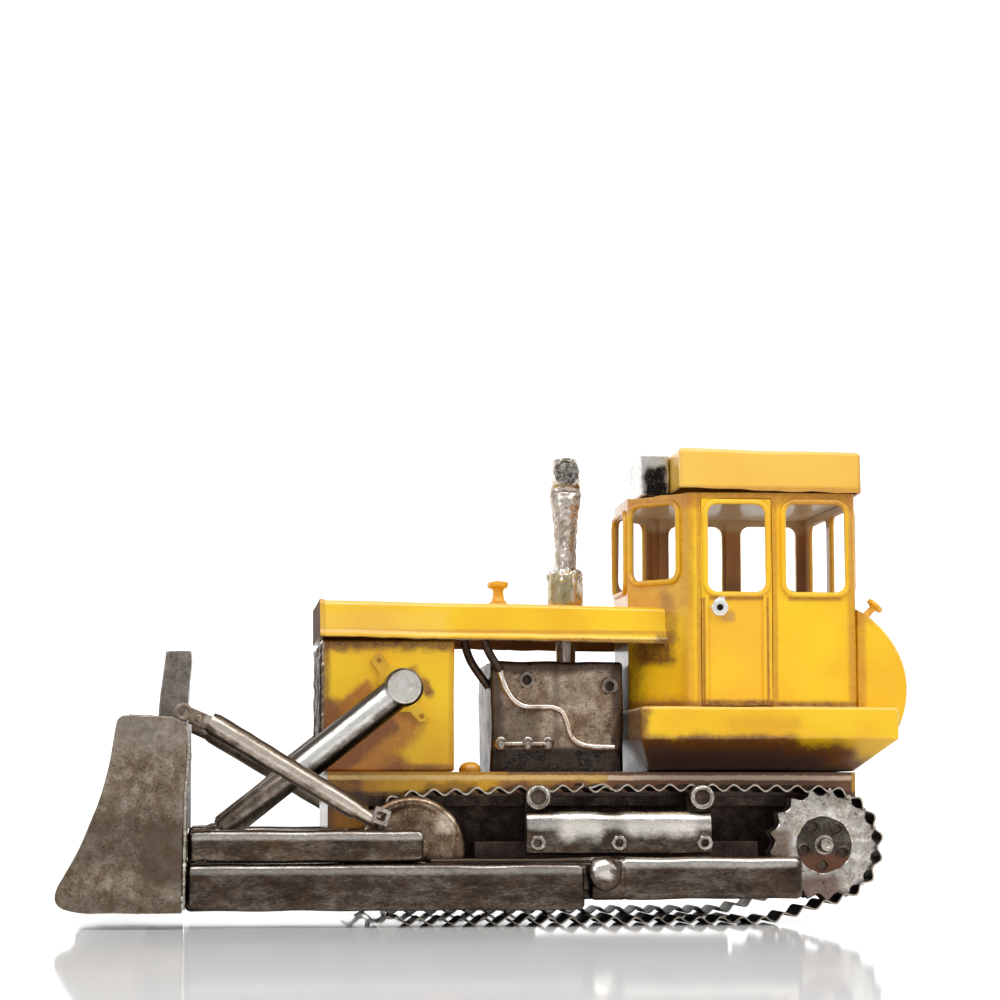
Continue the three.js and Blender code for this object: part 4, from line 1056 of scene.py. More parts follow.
def cab_corner(shell, i):
    """The fold before wall i. Gives the length that it takes from both walls beside it."""
    before, after = wall_frame(i - 1)[1], wall_frame(i)[1]
    turn = before.angle(after)
    normal = Vector((before.y, -before.x))
    trim = FOLD * math.tan(turn / 2)
    centre = PLAN[i] - before * trim - normal * FOLD
    start = math.atan2(normal.y, normal.x)
    base, steps = len(shell.points), 6
    for step in range(steps + 1):
        angle = start + turn * step / steps
        ray = Vector((math.cos(angle), math.sin(angle)))
        for p in (centre + ray * FOLD, centre + ray * (FOLD - SHEET)):
            shell.points.extend(Vector((p.x, p.y, z)) for z in (CAB["floor"], CAB["top"]))
    for step in range(steps):
        a, b = base + 4 * step, base + 4 * step + 4
        shell.faces.extend([(a, b, b + 1, a + 1), (a + 2, a + 3, b + 3, b + 2), (a, a + 2, b + 2, b),
                            (a + 1, b + 1, b + 3, a + 3)])
    return trim


def wall_outline(i, u0, u1):
    """Wall i from u0 to u1, going round the doorway where it has one."""
    floor, top = CAB["floor"], CAB["top"]
    outline = [(u0, floor), (u1, floor), (u1, top), (u0, top)]
    if i in (1, 3):
        gap = 0.4
        left, right, lintel = door_low.x - gap - shoulder, door_high.x + gap - shoulder, door_high.z + gap
        opening = [(left, floor), (left, lintel), (right, lintel), (right, floor)]
        if i == 3:
            length = wall_frame(i)[3]
            opening = [(length - u, z) for u, z in reversed(opening)]
        outline[1:1] = opening
    return outline


def cab():
    """One folded sheet round the plan, with window holes and open doorways."""
    shell = Shape()
    trims = [cab_corner(shell, i) for i in range(len(PLAN))]
    for i, trim in enumerate(trims):
        u0, u1 = trim, wall_frame(i)[3] - trims[(i + 1) % len(PLAN)]
        holes = [loop for wall, loop in cab_windows() if wall == i]
        shell.extrude(wall_outline(i, u0, u1), 0, -SHEET, lambda u, z, out, i=i: on_wall(i, u, z, out),
                      holes, (u0, u1))
    middle = Vector(((CAB["front"] + CAB["rear"]) / 2, 0))
    floor, top = CAB["floor"], CAB["top"]

    def faces_in(centre, normal):
        return (centre.xy - middle).dot(normal.xy) < 0

    def ragged(p):
        torn = 1.5 * noise.noise((p.x / 7, p.y / 7, 4.2)) if p.z > top - 1 and p.x < shoulder + 6 else 0
        return dented(45, 0.5, 6)(p) + Vector((0, 0, min(0, torn)))

    piece("cab_body", shell, "chassis", cab_paint, ["cab_shell"], grid=8, roughen=ragged,
          inside=(inside_paint, faces_in))
    ceiling = Shape().extrude(plan_outline(-SHEET - 0.3), top - SHEET - 1.4, top - 1.4, "Z")
    piece("cab_ceiling", ceiling, "chassis", inside_paint)
    rebate = rounded(door_low.x - 2.5, door_high.x + 2.5, floor + 0.5, door_high.z + 2.4, 1, 2)
    doorway = rounded(door_low.x + 1.5, door_high.x - 1.5, floor + 2, door_high.z - 1.4, 1, 2)
    stop = Shape().extrude(rebate, SHEET + 0.4 - CAB["half"], SHEET + 1.2 - CAB["half"], "Y", [doorway])
    piece("door_stops", stop.add(stop.mirrored()), "chassis", door_paint,
          inside=(inside_paint, lambda c, n: n.y * math.copysign(1, c.y) < 0.5))


def plan_outline(grow):
    """The plan's outline moved out by grow."""
    middle = (CAB["front"] + CAB["rear"]) / 2
    return [(p.x + math.copysign(1, p.x - middle) * grow, p.y + math.copysign(1, p.y) * grow) for p in PLAN]


def bead_frame(shape, i, loop):
    """Half-round bar bent round a window's edge."""
    grow, corner, out = 1.1, 6.1, 0.5
    us, zs = [u for u, _ in loop], [z for _, z in loop]
    bar = rounded(min(us) - grow, max(us) + grow, min(zs) - grow, max(zs) + grow, corner, 7)
    path = [on_wall(i, u, z, out) for u, z in bar]

    def ripple(k):
        return 1 + 0.09 * noise.noise((k * 0.4, i * 3.1, zs[0]))

    shape.tube(resample([*path, path[0]], 3)[:-1], 1.45, 12, closed=True, ripple=ripple)


def cab_trim():
    bars = Shape()
    for i, loop in cab_windows():
        bead_frame(bars, i, loop)
    piece("window_beads", bars, "chassis", cab_paint)


def doors():
    """Flat door with a framed window, edge beads down to the sill and a nut for a handle."""
    low, high = door_low, door_high
    face = -CAB["half"]
    pane = rounded(108.4, 138, 163.4, 207.8, 5)
    panel = Shape().extrude(rounded(low.x, high.x, low.z, high.z, 0.5, 2), face, face + SHEET, "Y", [pane])
    pair("door_panel", panel, "{}_cab_door", door_paint, ["{}_door"], grid=8, roughen=dented(40, 0.4, 9),
         inside=(inside_paint, lambda c, n: n.y * math.copysign(1, c.y) < -0.5))
    bars = Shape()
    loop = [(x - shoulder, z) for x, z in pane]
    bead_frame(bars, 1, loop)
    for x in (107.7, 137.2):
        bars.tube(resample([(x, face - 0.2, low.z + 0.4), (x, face - 0.2, 162.4)], 4), 1.25, 12,
                  ripple=lambda k, x=x: 1 + 0.08 * noise.noise((k * 0.6, x, 2.2)))
    pair("door_beads", bars, "{}_cab_door", door_paint)
    nuts = Shape().nut(114.2, 155.6, face - 0.3, 8.2, 3.0, 1.6)
    nuts.tube([(112.6, face - 1, 159), (114.2, face - 2.4, 160.4), (116.4, face - 1, 160.2)], 1.0, 10)
    pair("door_handle_nut", nuts, "{}_cab_door", handle_steel, ["{}_door_nut"],
         inside=bored([(114.2, 155.6)], 1.55))


def roof():
    """Folded lid with soft edges and a wavy lower rim, dropped over the cab's top."""
    low, high = span("cab_roof")
    rows = [(SHEET, high.z - SHEET), (SHEET, low.z + 0.3), (0.3, low.z), (0, low.z + 0.5),
            (0, high.z - 2.4), (0.35, high.z - 1.1), (1.1, high.z - 0.35), (2.4, high.z)]
    lid = Shape().boxed(rows, low, high, 2.2)
    waves = dented(36, 0.7, 11)

    def beaten(p):
        rim = 0.9 * noise.noise((p.x / 13, p.y / 13, 8.8)) if p.z < low.z + 3 else 0
        return waves(p) + Vector((0, 0, rim - 0.3 + 2.0 * (high.x - p.x) / (high.x - low.x)))

    piece("roof_lid", lid, "chassis", roof_paint, ["cab_roof"], grid=6, roughen=beaten,
          inside=(inside_paint, lambda c, n: n.z < -0.6 and c.z > low.z + 4))
    box_low, box_high = span("air_filter_box")
    case = Shape().block((box_low.x - 2, -36, box_low.z), (box_high.x - 0.4, 20, box_high.z + 2.4), 0.9, "Z")
    piece("air_filter_case", case, "chassis", filter_steel, ["air_filter_box"], grid=3,
          roughen=dented(6, 0.4, 13))


def fender():
    """Upright sides over a pyramid that narrows to the deck, hollow underneath."""
    low, high = span("cab_base")
    knee = low.z + 15.9
    full, foot = (low.x, high.x, high.y), (80, 184.5, 49)
    profile = [(full, high.z - SHEET, SHEET, 1.2), (full, knee + 0.4, SHEET, 1.2),
               (foot, low.z, SHEET, 1.2), (foot, low.z, 0, 2.2), (full, knee - 0.7, 0.5, 2.2),
               (full, knee, 0.1, 2.2), (full, knee + 0.9, 0, 2.2), (full, high.z - 1.6, 0, 2.2),
               (full, high.z - 0.5, 0.5, 2.0), (full, high.z, 1.8, 1.6)]
    rings = []
    for (x0, x1, half), z, inset, corner in profile:
        outline = rounded(x0 + inset, x1 - inset, inset - half, half - inset, corner)
        rings.append([Vector((x, y, z)) for x, y in outline])
    # Its downward faces above the knee take the dark steel: painted shade underneath.
    piece("fender_box", Shape().skin(rings), "chassis", fender_paint, ["cab_base"], grid=8,
          roughen=dented(40, 0.6, 15), inside=(soot_and_shade_steel, lambda c, n: n.z < -0.8 and c.z > knee))
    seam = Shape()
    for side in (-1, 1):
        y, z = side * (CAB["half"] + 0.4), high.z + 0.2
        seam.bead([(shoulder + 2, y, z), (door_low.x - 3, y, z)], 0.55, 3)
        seam.bead([(door_high.x + 2, y, z), (CAB["rear"] - 1, y, z)], 0.55, 4)
    piece("fender_seam", seam, "chassis", cab_paint)


def tank():
    """Round-backed tank across the rear, whose lip hangs behind the fender."""
    low, high = span("rear_tank")
    fender_high = span("cab_base")[1]
    radius = 43.6
    centre = Vector((high.x - radius, 115.8))
    step_x, step_z = fender_high.x + 0.3, fender_high.z + 0.3

    def section(inset):
        r = radius - inset
        first = math.asin((low.z + inset * 0.5 - centre.y) / r)
        last = math.acos((low.x + inset - centre.x) / r)
        arc = [(centre.x + r * math.cos(a), centre.y + r * math.sin(a))
               for a in (first + (last - first) * i / 30 for i in range(31))]
        return [*arc, (low.x + inset, step_z), (step_x, step_z), (step_x, low.z + inset * 0.5)]

    edge = [(0, 1.8), (0.4, 0.7), (1.5, 0.1), (3, 0)]
    rows = [(rise - high.y, inset) for rise, inset in edge]
    rows += [(high.y - rise, inset) for rise, inset in reversed(edge)]
    rings = [[Vector((x, y, z)) for x, z in section(inset)] for y, inset in rows]
    piece("tank_shell", Shape().skin(rings), "chassis", tank_paint, ["rear_tank"], grid=7,
          roughen=dented(34, 0.7, 17))
    low, high = span("tank_cap")
    cap = Shape().turned([(0, -2), (2.7, -2), (2.6, 0.2), (1.9, 1.2), (1.7, 5.2), (2.6, 5.9), (4.2, 6.2),
                          (4.5, 6.9), (4.4, 8.0), (3.6, 8.4), (0, 8.6)], (0, 0, 0), "Z", 36)
    turn, reach, lean = 0.6, radius + 0.8, 0.75
    cap.moved((centre.x + reach * math.sin(turn), -50, centre.y + reach * math.cos(turn)), lean)
    piece("tank_filler", cap, "chassis", cap_paint, ["tank_cap"], grid=2, roughen=dented(4, 0.4, 19))


cab()
cab_trim()
doors()
roof()
fender()
tank()

# ---------------------------------------------------------------- running gear
WHEEL_FACE = 83
sprocket_at = joint_place("left_sprocket_spin")
idler_at = joint_place("left_idler_spin")
carriers_at = [joint_place(f"left_{place}_carrier_spin") for place in ("front", "rear")]


def tangent(a, b):
    """Outward normal and length of the straight run from one circle (x, z, radius) to the next."""
    along = Vector((b[0] - a[0], b[1] - a[1]))
    distance, drop = along.length, a[2] - b[2]
    along.normalize()
    sine = drop / distance
    normal = Vector((along.y, -along.x)) * math.sqrt(1 - sine * sine) + along * sine
    return normal, math.sqrt(distance ** 2 - drop ** 2)


def straight_run(start, end, normal, length):
    return length, lambda s: (start.lerp(end, s / length), normal)


def bent_run(centre, radius, start, sweep):
    def bend(s):
        ray = Vector((math.cos(start + s / radius), math.sin(start + s / radius)))
        return centre + ray * radius, ray

    return sweep * radius, bend


def belt(circles):
    """Function from distance to (point, normal) round circles (x, z, radius), and the whole length."""
    turned = [*circles[1:], circles[0]]
    spans = [tangent(a, b) for a, b in zip(circles, turned)]
    runs = []
    for (x, z, r), (x2, z2, r2), (normal, length), (after, _) in zip(circles, turned, spans,
                                                                    [*spans[1:], spans[0]]):
        near, far = Vector((x, z)), Vector((x2, z2))
        runs.append(straight_run(near + normal * r, far + normal * r2, normal, length))
        start = math.atan2(normal.y, normal.x)
        runs.append(bent_run(far, r2, start, (math.atan2(after.y, after.x) - start) % TAU))
    total = sum(length for length, _ in runs)

    def at(distance):
        rest = distance % total
        for length, run in runs:
            if rest <= length:
                return run(rest)
            rest -= length
        return run(length)

    return at, total


def strip(samples, y0, y1, thickness):
    """A thin band whose middle runs through (point, normal) samples."""
    rings = []
    for point, normal in samples:
        out, back = point + normal * thickness / 2, point - normal * thickness / 2
        rings.append([Vector((out.x, y0, out.y)), Vector((out.x, y1, out.y)),
                      Vector((back.x, y1, back.y)), Vector((back.x, y0, back.y))])
    return rings


def track():
    """Corrugated steel band lapped over itself on the top run, with one loose curled end in front."""
    low, high = span("left_track_band")
    swing, thickness, pitch = 1.45, 0.85, 10.6
    middle = swing + thickness / 2 + 0.05
    circles = [(134, middle + 12, 12), (sprocket_at.x, sprocket_at.z, 27.3), (carriers_at[1].x, 54.2, 12),
               (carriers_at[0].x, 53.5, 12), (-38.5, 37.5, 25.8), (-44, middle + 12, 12)]
    at, total = belt(circles)
    waves = round(total / pitch)
    per_wave = 14
    lap = 1.35 * pitch
    seam = next(s for s in range(0, int(total), 1) if at(s)[1].y > 0.95 and at(s)[0].x < 57)
    samples = []
    steps = int((total + lap) / total * waves * per_wave)
    for i in range(steps + 1):
        s = (total + lap) * i / steps
        point, normal = at(seam + s)
        phase = TAU * waves * s / total
        slip = max(0.0, (s - total) / lap)
        lift = swing * math.sin(phase - 2.4 * slip) + 2.3 * slip - 0.9 * max(0.0, 1 - s / lap)
        samples.append((point + normal * (lift + 0.12 * math.sin(s * 0.31)), normal))
    band = Shape().skin(strip(samples, low.y, high.y, thickness))
    curl = []
    for i in range(46):
        t = i / 45
        x = -50 - 17 * t
        z = 2.6 + 1.5 * math.sin(TAU * 1.5 * t + 0.6) + 2.4 * t * t
        curl.append((Vector((x, z)), Vector((-0.35 * math.cos(TAU * 1.5 * t), 1)).normalized()))
    band.skin(strip(curl, low.y + 1, low.y + 26, thickness))
    pair("track_belt", band, "chassis", band_steel, ["{}_track_band"],
         inside=(edge_steel, lambda c, n: abs(n.y) > 0.9))


TEETH, TOOTH_TIP, TOOTH_ROOT = 17, 27.6, 24.6
TOOTH = [(-0.5, TOOTH_ROOT), (-0.38, 24.75), (-0.25, 25.5), (-0.12, 26.9), (-0.04, TOOTH_TIP),
         (0.04, TOOTH_TIP), (0.12, 26.9), (0.25, 25.5), (0.38, 24.75), (0.5, TOOTH_ROOT)]


def toothed(radius, angle):
    """The radius at an angle round the sprocket, for rings outside the teeth's roots."""
    phase = ((angle + 0.042) / TAU * TEETH + 0.5) % 1 - 0.5
    for (p0, r0), (p1, r1) in zip(TOOTH, TOOTH[1:]):
        if p0 <= phase <= p1 and radius >= 24:
            return (r0 + (r1 - r0) * (phase - p0) / (p1 - p0)) * radius / TOOTH_TIP
    return radius


def sprocket():
    """Toothed face ring round a sunk web with five lipped holes, with a drum behind and a bolt."""
    tip, fine = TOOTH_TIP, TEETH * 12
    ring = Shape().turned([(13.6, -2.2), (tip, -2.2), (tip, -0.7), (tip - 0.5, -0.2), (23.6, 0.05),
                           (19, 0.25),
                           (14.6, 0.1), (13.8, -0.3), (13.5, -1.2)], sides=fine, form=toothed)
    holes, lips = [], Shape()
    for i in range(5):
        angle = math.radians(122 - 72 * i)
        x, z = 10.2 * math.cos(angle), 10.2 * math.sin(angle)
        holes.append(circle(x, z, 2.5, 20))
        lips.tube([(u, 1.0, v) for u, v in circle(x, z, 2.8, 24)], 0.45, 8, closed=True)
    web = Shape().extrude(circle(0, 0, 13.7, 48), 1.1, 3.0, "Y", holes).add(lips)
    bolt = Shape().turned([(0, -1.6), (4.9, -1.6), (4.8, 0.2), (3.9, 0.5), (3.6, 6.2), (3.0, 7.0), (1.6, 7.2),
                           (1.3, 6.7), (0, 6.6)], sides=32)
    drum = Shape().turned([(22.8, -23), (24.2, -23), (24.2, -2.3), (22.8, -2.3)], sides=60)
    drum.turned([(3.4, -23), (5.4, -23), (5.4, -1.4), (3.4, -1.4)], sides=28)
    drum.turned([(5.2, -3.4), (23, -3.4), (23, -2.9), (5.2, -2.9)], sides=60)
    drum.turned([(22, -13), (tip, -13), (tip, -11), (22, -11)], sides=fine, form=toothed)
    parts = (("sprocket_ring", ring, sprocket_steel, ["{}_sprocket"], dented(4, 0.5, 3)),
             ("sprocket_web", web, web_steel, [], None), ("sprocket_bolt", bolt, nut_steel, [], None),
             ("sprocket_drum", drum, soot_and_shade_steel, [], None))
    for name, shape, look, nodes, rough in parts:
        shape.moved((sprocket_at.x, 6 - WHEEL_FACE, sprocket_at.z))
        pair(name, shape, "{}_drive_wheel", look, nodes, roughen=rough)


def idler():
    """Smooth front wheel with a raised rim."""
    rows = [(3.4, -2.6), (20.3, -2.6), (20.3, -29), (18.9, -29), (18.9, -4.2), (5.4, -4.2), (5.4, -29),
            (3.4, -29)]
    drum = Shape().turned([(r, h) for r, h in reversed(rows)], sides=64)
    face = Shape().turned([(0, -2.7), (26, -2.4), (26.1, -1.8), (25.5, -0.9), (24.4, 0.0), (23.2, 0.3),
                           (21.8, 0.1), (20.6, -0.6), (18.8, -0.9), (14, -0.7), (8.4, -0.5), (7.6, 0.1),
                           (6.6, 0.3), (0, 0.4)],
                          sides=72)
    for name, shape, look, nodes in (("idler_face", face, idler_steel, ["{}_idler"]),
                                     ("idler_drum", drum, soot_and_shade_steel, [])):
        shape.moved((idler_at.x, -WHEEL_FACE, idler_at.z))
        pair(name, shape, "{}_front_wheel", look, nodes, roughen=dented(9, 0.3, 4) if nodes else None)


def carriers():
    """Carrier rollers faced with large hexagon nuts."""
    for place, at in zip(("front", "rear"), carriers_at):
        roller = Shape().nut(0, 0, 0, 11.8, 3.2, 3.5, 0.52)
        roller.tube([(x, -3.3, z) for x, z in circle(0, 0, 5.0, 36)],
                    0.55, 8, closed=True)
        roller.turned([(0, -27.6), (1.8, -27.6), (1.8, -1.4), (6.1, -1.4), (6.1, 0.4), (0, 0.4)], sides=36)
        roller.moved((at.x, -WHEEL_FACE, at.z))
        pair(f"{place}_carrier_nut", roller, "{}_" + place + "_carrier", nut_steel,
             ["{}_carrier_roller_" + place], roughen=dented(3, 0.15, 5),
             inside=bored([(at.x, at.z)], 3.2, soot_and_shade_steel))


def guard():
    """Rounded rail over the lower beam, held by three nuts."""
    low, high = span("left_roller_guard")
    face, back = -88.7, -83.7
    bend = [(face + 4.8 - 4.8 * math.cos(a), high.z - 6.2 + 6.2 * math.sin(a)) for a in angles(32)[:9]]
    section = [(back, low.z + 0.4), (back, high.z - 0.4), (back - 0.3, high.z), *reversed(bend),
               (face, low.z + 0.8), (face + 0.8, low.z)]
    rail = Shape().extrude(section, low.x, high.x, "X")
    pair("guard_rail", rail, "chassis", beam_steel, ["{}_roller_guard"], bevel=0.4, grid=5,
         roughen=dented(12, 0.4, 7))
    nuts, nuts_at = Shape(), [(x, 39.3) for x in (19.4, 58.9, 100.9)]
    for x, z in nuts_at:
        nuts.nut(x, z, face + 0.2, 7.2, 2.7, 1.8)
    pair("guard_nuts", nuts, "chassis", nut_steel, inside=bored(nuts_at, 1.75))


def beams():
    """Square tube beside the track, stepped out behind the pivot, with the pivot's domed cap."""
    low, high = span("left_side_beam")
    step, inner, mid, outer = 43, -84, -95, -104
    beam = Shape().block((low.x, mid, low.z), (high.x - 2, inner, high.z), 2.0)
    beam.block((step + 15, outer, low.z), (high.x, mid + 2, high.z), 3.2)
    beam.block((step, outer, low.z), (step + 18, -99, high.z), 3.2)
    pair("lower_beam", beam, "chassis", beam_steel, ["{}_side_beam"], grid=7, roughen=dented(22, 0.6, 9))
    cap = Shape().turned([(0, -12), (3, -12), (3, -0.5), (7.8, -0.5), (8.2, 0.2), (8.0, 1.2), (7.2, 2.4),
                          (5.8, 3.5), (3.8, 4.3), (1.8, 4.6), (0, 4.7)], (49.8, outer - 0.3, 25), "-Y", 44)
    pair("pivot_dome", cap, "chassis", beam_steel, ["{}_pivot_pin"], roughen=dented(7, 0.3, 2))


track()
sprocket()
idler()
carriers()
guard()
beams()

# ---------------------------------------------------------------- blade and its arms
HALF = -span("left_end_plate")[0].y
PLATE = 1.8


def arms():
    """Push beam to the pivot and the shorter arm on top of it, both square tube."""
    low, high = span("left_push_beam")
    outer, inner = low.y, high.y
    beam = Shape().block((low.x, outer, low.z), (40.0, inner, 30.2), 3.0)
    beam.block((30, -98, 17.4), (50, inner, 30), 0.8)
    beam.turned([(3.4, -2.1), (7.6, -2.1), (8, -1.6), (8, -0.4), (7.6, 0), (3.4, 0)], (49.8, -98, 25), "-Y",
                36)
    pair("push_tube", beam, "blade", beam_steel, ["{}_push_beam"], grid=7, roughen=dented(24, 0.6, 21))
    low, high = span("left_upper_arm")
    arm = Shape().block((low.x, low.y, low.z), (high.x, inner, 45.9), 2.8)
    pin_x, pin_z = -135, 42.5
    arm.turned([(0, 0), (2.2, 0), (2.2, 32), (0, 32)], (pin_x, -95, pin_z), "Y", 24)
    arm.tube([(-56.8, -98, 44.5), (-56.8, -98, 49)], 1.9, 14)
    arm.bead([(low.x + 2, low.y + 0.4, 45.6), (low.x + 11, low.y + 0.6, 45.8)], 0.7, 1)
    pair("arm_tube", arm, "blade", arm_steel, ["{}_upper_arm"], grid=7, roughen=dented(20, 0.6, 23))
    seam = Shape().bead([(-45, inner - 6, 30.3), (-36, inner - 10, 30.2)], 0.9, 5)
    seam.bead([(low.x + 4, low.y + 1, 30.8), (low.x + 9, low.y + 0.6, 31.2)], 0.8, 6)
    pair("arm_weld", seam, "blade", beam_steel)


def end_plates():
    """Curved side plates of the blade, with a weld run down the rear edge."""
    shape = [(-150.9, 7.6), (-150.2, 64.7), (-148.6, 86.5),
             *bezier([(-148.4, 88), (-148.2, 98), (-157, 98.6)], 8),
             *bezier([(-176.4, 99.8), (-181.4, 100.2), (-182, 95)], 8),
             *bezier([(-182, 95), (-187.5, 52), (-208, 20)], 18)[1:],
             *bezier([(-208, 20), (-212, 12), (-205, 9.4)], 8)[1:],
             *bezier([(-205, 9.4), (-198, 7.6), (-192, 7.4)], 5)[1:]]
    plate = Shape().extrude(shape, -HALF, PLATE - HALF)
    pair("blade_cheek", plate, "blade", blade_steel, ["{}_end_plate"], bevel=0.5, grid=6,
         roughen=dented(20, 0.7, 25))
    weld = Shape().bead([(-149.8, 0.6 - HALF, 9), (-149.4, 0.6 - HALF, 64), (-147.9, 0.8 - HALF, 86)], 0.75,
                        7, 0.6)
    weld.bead([(-150, 0.8 - HALF, 92), (-156, 0.8 - HALF, 98.4), (-176, 0.8 - HALF, 99.6)], 0.55, 8, 0.6)
    pair("blade_weld", weld, "blade", nut_steel)


def blade():
    """Curved mouldboard with a turned-in cutting edge, folded rear sheet and a spill plate on top."""
    half = HALF - PLATE - 0.1
    front = bezier([(-179.6, 95), (-185.1, 52), (-206.1, 16)], 26)
    back = bezier([(-177.4, 95), (-182.9, 52), (-203.9, 16)], 26)
    foot = [(-204.2, 11.4), (-202.5, 9.4), (-200, 8.4), (-170, 7.6), (-170, 9.8), (-198.6, 10.6)]
    board = Shape().extrude([*front, *foot, *reversed(back)], -half, half)
    piece("blade_board", board, "blade", blade_steel, ["mouldboard"], bevel=0.3, segments=2, grid=9,
          roughen=dented(36, 1.0, 27))
    low, high = span("blade_back")
    plan = [(-153, -half), (-150.9, -half), (-149.9, -96), (-147.4, -44), (-147.4, 44), (-149.9, 96),
            (-150.9, half), (-153, half), (-149.6, 44), (-149.6, -44)]
    sheet = Shape().extrude(plan, low.z, high.z, "Z")
    sheet.block((low.x, -half, high.z - 1.5), (-149.2, half, high.z), 0.6, "Y")
    piece("blade_rear_sheet", sheet, "blade", spill_steel, ["blade_back"], bevel=0.4, segments=2, grid=9,
          roughen=dented(40, 0.7, 29))
    low, high = span("spill_plate")
    top = Shape().extrude([(-163.8, low.z - 0.6), (-149.6, low.z - 0.6), (-147.6, high.z),
                           (-160.2, high.z)], -42, 42)
    piece("spill_box", top, "blade", spill_steel, ["spill_plate"], bevel=1.0, grid=7,
          roughen=dented(18, 0.8, 31))


BRACE_Y = -98
BRACE_RING, BRACE_EYE = (-151.1, 101.6), (-56.8, 52.4)
BRACE_HEAD, BRACE_FOOT = Vector((-138.5, 0, 97.3)), Vector((-67.5, 0, 54.6))


def fluted_tube():
    """Tapered tube with three flutes down it, and the thin rod's root at its end."""
    along = BRACE_FOOT - BRACE_HEAD
    length = along.length
    rings = []
    for i in range(30):
        t = i / 29
        end = 0.86 if i in (0, 29) else 1.0
        row = []
        for a in angles(40):
            flute = 1 - 0.05 * sum(math.exp(-(((a - at) / 0.12) ** 2)) for at in (2.6, 3.0, 3.7))
            r = (5.4 - 0.5 * t) * end * flute
            row.append(Vector((length * t, BRACE_Y + r * math.cos(a) * 0.94, r * math.sin(a))))
        rings.append(row)
    tube = Shape().skin(rings)
    neck = [(length - 3, BRACE_Y, 0), (length + 2, BRACE_Y, 0), (length + 9, BRACE_Y, -0.2)]
    tube.tube(neck, [4.0, 3.8, 2.9], 20)
    return tube.moved(BRACE_HEAD, math.atan2(-along.z, along.x))


def brace_link():
    """Ring at the blade, riveted link to the tube, and the thin rod at the other end."""
    (x, z), y, head, foot = BRACE_RING, BRACE_Y, BRACE_HEAD, BRACE_FOOT
    link = Shape().extrude([(x + 2.4, z + 2.8), (x - 0.4, z - 2.9), (head.x + 1, head.z - 3.6),
                            (head.x + 4.4, head.z + 1)], y - 1.6, y + 1.6)
    link.turned([(2.3, -2.0), (4.0, -2.0), (4.4, -1.4), (4.4, 1.6), (3.9, 2.2), (2.7, 2.2), (2.3, 1.6)],
                (x, y, z), "-Y", 36)
    link.turned([(0, 1.4), (1.9, 1.4), (1.8, 2.1), (1.0, 2.5), (0, 2.6)], (-143.8, y, 98.6), "-Y", 20)
    link.tube([(x + 3, y - 0.6, z - 4.2), (head.x + 2, y - 0.4, head.z - 5.2)], 1.0, 10)
    return link.tube([(foot.x - 1, y, foot.z), (-61, y, 53.8), (BRACE_EYE[0], y, BRACE_EYE[1])], 1.55, 14)


def braces():
    """Diagonal brace: ring and riveted link, fluted tube, thin rod and a square eye."""
    square = Shape().extrude(rounded(-3.9, 3.9, -3.9, 3.9, 0.8, 3), BRACE_Y - 3, BRACE_Y + 3, "Y",
                             [rounded(-2.1, 2.1, -2.1, 2.1, 0.5, 2)])
    square.moved((BRACE_EYE[0], 0, BRACE_EYE[1]), 0.35)
    pair("brace_tube", fluted_tube(), "blade", brace_steel, ["{}_brace"], roughen=dented(8, 0.3, 33))
    pair("brace_link", brace_link(), "blade", brace_steel, bevel=0.35, segments=2)
    pair("brace_eye", square, "blade", nut_steel, bevel=0.4, segments=2)


def lift():
    """Lift cylinders: fixed trunnion and its strap, swinging barrel, sliding rod."""
    at = trunnion_at
    reach = 115.85
    slide = (at, math.pi - barrel_lean)
    barrel = Shape().turned([(6.6, 11), (7.7, 9), (7.9, 11), (7.95, 30), (7.9, 64), (8.1, 67), (8.1, 69.4),
                             (7.7, 70),
                             (6.6, 70)], axis="X", sides=52)
    barrel.turned([(0, 3.6), (7.4, 3.6), (7.9, 6), (7.9, 12), (0, 12)], axis="X", sides=48)
    barrel.turned([(3.4, -8), (8.6, -8), (9.4, -7.2), (9.4, 7.2), (8.6, 8), (3.4, 8)], axis="-Y", sides=44)
    rod = Shape().turned([(0, 47), (6.0, 47), (6.3, 48), (6.3, reach - 6), (4.5, reach - 3.6),
                          (0, reach - 3.6)],
                         axis="X", sides=44)
    rod.turned([(3.7, -4.6), (5.0, -5), (5.4, -4.4), (5.4, 4.4), (5.0, 5), (3.7, 4.6)], (reach, 0, 0), "-Y",
               40)
    wall = radiator_high.y + 0.3
    ears = [(-20.4, -2.6), (-12, -3.4), (-10, -6.6), (9, -6.6), (12, -2.8), (19, -2.2), (20.6, 0.4),
            (19, 3.2), (12, 3.0), (9, 6.6), (-10, 6.6), (-12, 3.2), (-20, 3.6), (-21, 1.2)]
    strap = Shape().extrude(ears, -wall - 1.7, -wall, "Y",
                            [circle(-17.6, 0.6, 1.2, 16), circle(17.4, 0.4, 1.2, 16)])
    strap.moved((at.x, 0, at.z), math.pi / 2 - barrel_lean)
    pin = Shape().turned([(0, wall + 0.5), (3, wall + 0.5), (3, 78.3), (7.8, 78.3), (8.2, 78.7),
                          (8.2, 79.6), (7.9, 80.1), (7.2, 80.3), (0, 80.2)], (at.x, 0, at.z), "-Y", 56)
    for i in range(3):
        pin.bead([(at.x + 1.6 + i * 0.9, -80.2, at.z - 2.6 + i),
                  (at.x + 3.4, -80.25, at.z - 1.4 + 1.1 * i)], 0.3, i)
    pair("barrel_tube", barrel.moved(*slide), "{}_cylinder", barrel_steel, ["{}_lift_barrel"],
         roughen=dented(12, 0.4, 35))
    pair("rod_shaft", rod.moved(*slide), "{}_rod", rod_steel, ["{}_lift_rod"], roughen=dented(10, 0.3, 37))
    pair("trunnion_strap", strap, "chassis", strap_paint, ["{}_trunnion"], bevel=0.35, grid=4,
         roughen=dented(9, 0.5, 39))
    pair("trunnion_disc", pin, "chassis", silver, roughen=dented(5, 0.2, 41))


arms()
end_plates()
blade()
braces()
lift()

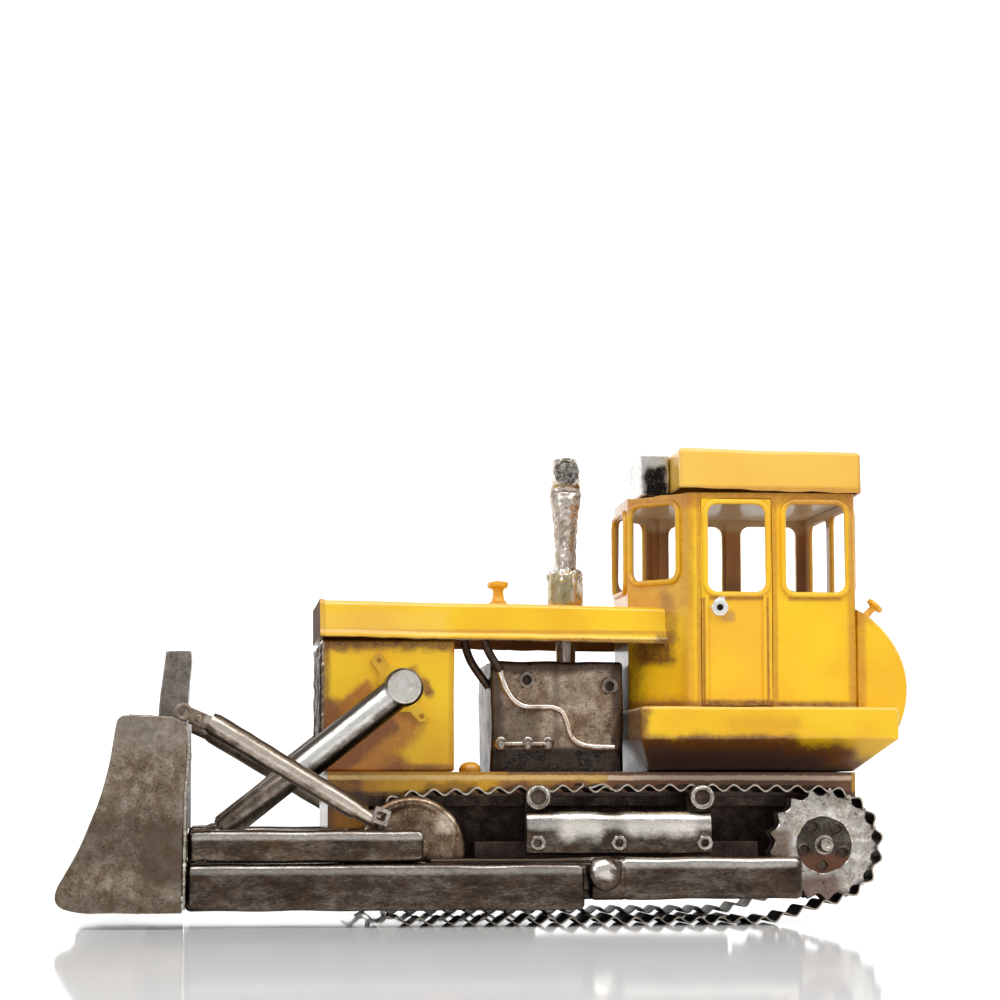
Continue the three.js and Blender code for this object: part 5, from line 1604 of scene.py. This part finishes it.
# ---------------------------------------------------------------- camera, lights and floor
camera = bpy.data.objects.new("camera", bpy.data.cameras.new("camera"))
bpy.context.scene.collection.objects.link(camera)
bpy.context.scene.camera = camera
camera.location = (-0.1435, -1.477, 0.060)
camera.rotation_euler = (math.radians(95.95), 0, math.radians(-5.95))
camera.data.lens = 103.68
camera.data.sensor_width = 36
camera.data.clip_end = 50


def soft_light(name, place, target, size, power):
    data = bpy.data.lights.new(name, "AREA")
    data.shape = "RECTANGLE"
    data.size, data.size_y = size
    data.energy = power
    light = bpy.data.objects.new(name, data)
    bpy.context.scene.collection.objects.link(light)
    light.location = place
    light.rotation_euler = (Vector(target) - Vector(place)).to_track_quat("-Z", "Y").to_euler()


soft_light("overhead", (0.0, -0.75, 1.3), (0, 0, 0.1), (2.0, 0.75), 16)
soft_light("front_left", (-1.5, -1.1, 1.0), (0, 0, 0.1), (0.6, 0.7), 4.5)
soft_light("front_right", (1.5, -1.2, 1.0), (0, 0, 0.1), (0.6, 0.7), 4.5)


def surroundings():
    """Bright behind the machine, softer in front, dimmer overhead."""
    world = bpy.data.worlds.new("studio")
    bpy.context.scene.world = world
    world.use_nodes = True
    tree = world.node_tree
    place = tree.nodes.new("ShaderNodeTexCoord")
    split = tree.nodes.new("ShaderNodeSeparateXYZ")
    tree.links.new(place.outputs["Generated"], split.inputs[0])
    product = tree.nodes.new("ShaderNodeMath")
    product.operation = "MULTIPLY"
    for i, (axis, values) in enumerate((("Y", (-0.35, 0.55, 0.5, 1.5)), ("Z", (0.3, 0.75, 1.0, 0.35)))):
        fade = tree.nodes.new("ShaderNodeMapRange")
        fade.interpolation_type = "SMOOTHSTEP"
        tree.links.new(split.outputs[axis], fade.inputs["Value"])
        for socket, value in zip(fade.inputs[1:5], values):
            socket.default_value = value
        tree.links.new(fade.outputs[0], product.inputs[i])
    background = tree.nodes["Background"]
    background.inputs["Color"].default_value = (1, 1, 1, 1)
    tree.links.new(product.outputs[0], background.inputs["Strength"])


def floor():
    mesh = bpy.data.meshes.new("floor")
    edge = 14.0
    mesh.from_pydata([(-edge, -edge, 0), (edge, -edge, 0), (edge, edge, 0), (-edge, edge, 0)], [],
                     [(0, 1, 2, 3)])
    ground = bpy.data.objects.new("floor", mesh)
    bpy.context.scene.collection.objects.link(ground)
    material = bpy.data.materials.new("floor_white")
    material.use_nodes = True
    shader = material.node_tree.nodes["Principled BSDF"]
    shader.inputs["Base Color"].default_value = (0.97, 0.97, 0.97, 1)
    shader.inputs["Roughness"].default_value = 0.06
    shader.inputs["IOR"].default_value = 1.07
    mesh.materials.append(material)


surroundings()
floor()
bpy.context.scene.view_settings.view_transform = "Standard"
